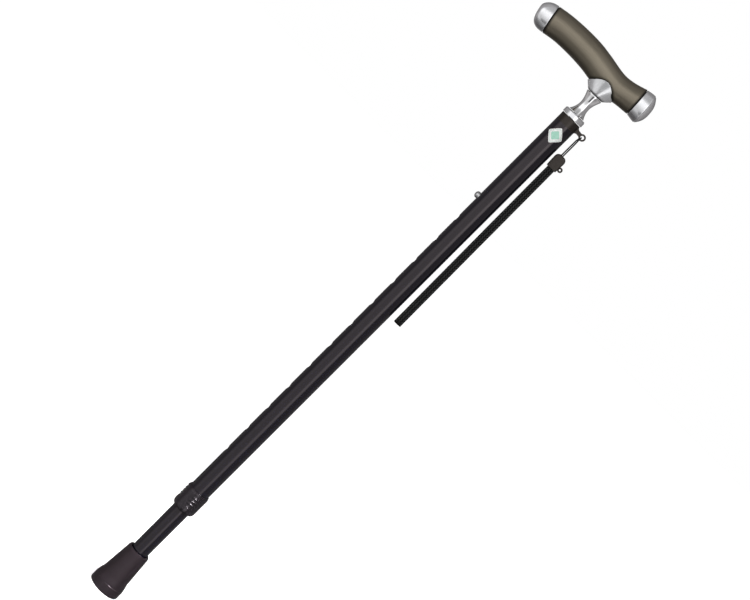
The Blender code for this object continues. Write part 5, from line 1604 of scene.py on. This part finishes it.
def clip_shell():
    """Rings from the string's slot over the shoulders, down the outside, round the open foot and
    up the inside to the roof and the slot again. Each is a superellipse."""
    centre = EYE + Vector((CLIP_MIDDLE, 0, 0))
    slot_shift = STRANDS_MIDDLE - CLIP_MIDDLE
    slot_wide, slot_deep = SLOT_HALF
    room_wide, room_deep = STRAP_ROOM
    mouth_wide, mouth_deep, mouth_up = ROOM_MOUTH
    foot = CLIP_TOP - CLIP_HEIGHT
    roof = CLIP_TOP - CLIP_ROOF
    rings = []

    def ring(half_width, half_depth, squareness, z, shift=0.0):
        x, y = superellipse(half_width, half_depth, squareness, full_turn(CLIP_SIDES))
        rings.append(np.column_stack([centre.x + x + shift, y, centre.z + z + 0 * x]))

    ring(slot_wide, slot_deep, SLOT_SQUARENESS, CLIP_TOP - SLOT_EDGE, slot_shift)
    ring(slot_wide + SLOT_EDGE, slot_deep + SLOT_EDGE, SLOT_SQUARENESS, CLIP_TOP, slot_shift)
    for turn in np.linspace(0.12, 1.0, 14) * pi / 2:
        wide = CLIP_HALF_WIDTH - CLIP_SHOULDER * (1 - sin(turn))
        deep = CLIP_HALF_DEPTH - CLIP_FACE_SHOULDER * (1 - sin(turn) ** 0.8)
        squareness = CLIP_TOP_SQUARENESS + (CLIP_SQUARENESS - CLIP_TOP_SQUARENESS) * sin(turn)
        ring(wide, deep, squareness, CLIP_TOP - CLIP_SHOULDER * (1 - cos(turn)))
    straight = CLIP_HEIGHT - CLIP_SHOULDER - CLIP_ROUND
    for share in np.linspace(0, 1, 12)[1:]:
        wide = CLIP_HALF_WIDTH - CLIP_TAPER * share**2
        ring(wide, CLIP_HALF_DEPTH, CLIP_SQUARENESS, CLIP_TOP - CLIP_SHOULDER - straight * share)
    for turn in np.linspace(0.25, 1.0, 4) * pi / 2:
        inset = CLIP_ROUND * (1 - cos(turn)) / 2
        height = foot + CLIP_ROUND * (1 - sin(turn))
        ring(wide - inset, CLIP_HALF_DEPTH - inset, CLIP_SQUARENESS, height)
    ring(room_wide + mouth_wide, room_deep + mouth_deep, ROOM_SQUARENESS, foot)
    ring(room_wide, room_deep, ROOM_SQUARENESS, foot + mouth_up)
    ring(room_wide, room_deep, ROOM_SQUARENESS, roof - ROOM_CORNER)
    ring(room_wide - ROOM_CORNER, room_deep - ROOM_CORNER, CLIP_SQUARENESS, roof)
    ring(slot_wide, slot_deep, SLOT_SQUARENESS, roof, slot_shift)
    return skin("clip_shell", rings, loop=True)


def clip_eyelet():
    """A small round ring at the clip's side, thick enough to run into its wall."""
    centre = np.array(EYE) + (CLIP_MIDDLE + CLIP_HALF_WIDTH + EYELET_OUT, 0, EYELET_Z)
    half = EYELET_THICKNESS / 2
    return ring_of_section("eyelet", EYELET_RADIUS, EYELET_HOLE, half, EYELET_EDGE, EYELET_SIDES, centre)


CLIP_PLASTIC = moulded_finish("clip_plastic", CLIP_BLACK, 0.5, 0.00002, CLIP_TINT)
clip_mesh = combined("UNION", clip_shell(), clip_eyelet())
clip_mesh.set_sharp_from_angle(angle=radians(40))
clip_piece = shown("clip", clip_mesh, CLIP_PLASTIC, "strap", "strap_clip")


# Wrist strap
# A flat braid of black polyester, folded to one long loop. Both ends are gripped in the clip,
# and the two legs hang flat behind each other.

STRAP_WIDTH = 0.0074
STRAP_THICKNESS = 0.0014
STRAP_LEAN = radians(0.35)
STRAP_SQUARENESS = 2.6
STRAP_SIDES = 44
STRAP_STEP = 0.00026
BRAID_COLUMNS = 3
BRAID_PITCH = 0.0028
BRAID_SLOPE = 0.55
BRAID_CROWN = 0.85  # how much of a half circle crowns a column
BRAID_RIDGE_POWER = 0.7
BRAID_RIDGE_FLOOR = 0.25  # height between two ridges, for a ridge of 1
BRAID_RELIEF = 0.00030
BRAID_EDGE_RELIEF = 0.00012
# painted shade for the grooves of the braid
BRAID_GROOVE_PAINTED_SHADE = (0.0004, 0.0004, 0.0004)
BRAID_YARN = (0.0130, 0.0135, 0.0132)
BRAID_SHINE = 0.36
BRAID_RAISED = (0.40, 0.90)  # reliefs between which groove goes over into plait
STRAP_ROUTE_MM = (
    (-1.05, -28.2), (-1.05, -35.0), (-1.2, -42.0), (-1.6, -54.0), (-1.95, -72.0), (-2.1, -95.0),
    (-2.0, -120.0), (-2.1, -146.0), (-2.0, -170.0), (-2.1, -190.0), (-2.15, -204.0), (-2.1, -211.5),
    (-1.35, -214.6), (0.0, -215.7), (1.35, -214.6), (2.1, -211.5), (2.15, -204.0), (2.0, -190.0),
    (2.1, -170.0), (2.0, -146.0), (2.1, -120.0), (2.0, -95.0), (1.95, -72.0), (1.6, -54.0),
    (1.2, -42.0), (1.05, -35.0), (1.05, -28.2),
)


def strap_path():
    """The route in space, resampled at an even step along its length."""
    route = smooth_curve(STRAP_ROUTE_MM, 12) / 1000
    x = CLIP_MIDDLE - STRAP_LEAN * CLIP_HEIGHT - np.tan(STRAP_LEAN) * route[:, 1]
    points = np.column_stack([x, route[:, 0], route[:, 1]]) + np.array(EYE)
    reach = lengths_along(points)
    even = np.linspace(0, reach[-1], int(reach[-1] / STRAP_STEP))
    return np.column_stack([np.interp(even, reach, points[:, k]) for k in range(3)])


def braid_relief(along, across):
    """Height of the plaits, 0 to 1, at a length along the strap and a place across it from -1
    to 1. Each column is crowned by a half circle, and slanted ridges cross it, |sin| of the
    length over the pitch plus the slope times the place, leaning the other way in each next
    column and set half a pitch on."""
    column = np.clip(((across + 1) / 2 * BRAID_COLUMNS).astype(int), 0, BRAID_COLUMNS - 1)
    local = (across + 1) * BRAID_COLUMNS - 2 * column - 1
    sign = np.where(column % 2 == 0, 1.0, -1.0)
    phase = pi * (along / BRAID_PITCH + sign * BRAID_SLOPE * local + 0.5 * (column % 2))
    ridge = np.abs(np.sin(phase)) ** BRAID_RIDGE_POWER
    crown = np.sqrt(np.clip(1 - BRAID_CROWN * local**2, 0, 1))
    return crown * (BRAID_RIDGE_FLOOR + (1 - BRAID_RIDGE_FLOOR) * ridge)


def strap():
    """A flat rounded section carried along the path, its wide axis across the stick, raised by
    the relief of the braid on both faces."""
    path = strap_path()
    tangents = directions(path)
    side = np.array([cos(STRAP_LEAN), 0.0, sin(STRAP_LEAN)])
    side = side - tangents * (tangents @ side)[:, None]
    side /= np.linalg.norm(side, axis=1)[:, None]
    out = np.cross(tangents, side)
    angles = (np.arange(STRAP_SIDES) + 0.5) * 2 * pi / STRAP_SIDES
    flat, deep = superellipse(1, 1, STRAP_SQUARENESS, angles)
    reach = lengths_along(path)[:, None]
    relief = braid_relief(reach + 0 * flat, flat + 0 * reach)
    half_width = STRAP_WIDTH / 2 - BRAID_EDGE_RELIEF * (1 - relief)
    half_depth = STRAP_THICKNESS / 2 - BRAID_RELIEF * (1 - relief)
    across = (half_width * flat)[..., None] * side[:, None]
    through = (half_depth * deep)[..., None] * out[:, None]
    mesh = skin("strap", path[:, None] + across + through)
    ends = np.zeros(len(mesh.vertices) - relief.size)
    mark(mesh, "relief", np.concatenate([relief.ravel(), ends]))
    return mesh, path


def braid_finish():
    """Black polyester yarn: fine fibres, with painted shade that makes it near black and dull in
    the grooves of the relief, and dark grey with a little shine on the plaits."""
    material, tree, shader = finish("cord_braid")
    fibres = noise(tree, object_place(tree, (1, 1, 0.35)), 5200, 3, 0.65)
    relief = node(tree, "Attribute", attribute_name="relief").outputs["Fac"]
    groove, plait = BRAID_RAISED
    raised = node(tree, "MapRange", {0: relief, 1: groove, 2: plait}).outputs[0]
    # painted shade: near black in the grooves of the relief, the yarn's colour on the plaits
    share = maths(tree, "MULTIPLY", raised, maths(tree, "MULTIPLY_ADD", fibres, 0.7, 0.55))
    wire(
        tree, shader,
        Base_Color=mixed(tree, share, BRAID_GROOVE_PAINTED_SHADE, BRAID_YARN),
        Roughness=0.62,
        Specular_IOR_Level=maths(tree, "MULTIPLY", raised, BRAID_SHINE),
        Normal=bumped(tree, fibres, 0.00005, 0.6),
    )
    return material


strap_mesh, strap_line = strap()
BRAID = braid_finish()
strap_piece = shown("braided_strap", strap_mesh, BRAID, "strap", "wrist_strap")
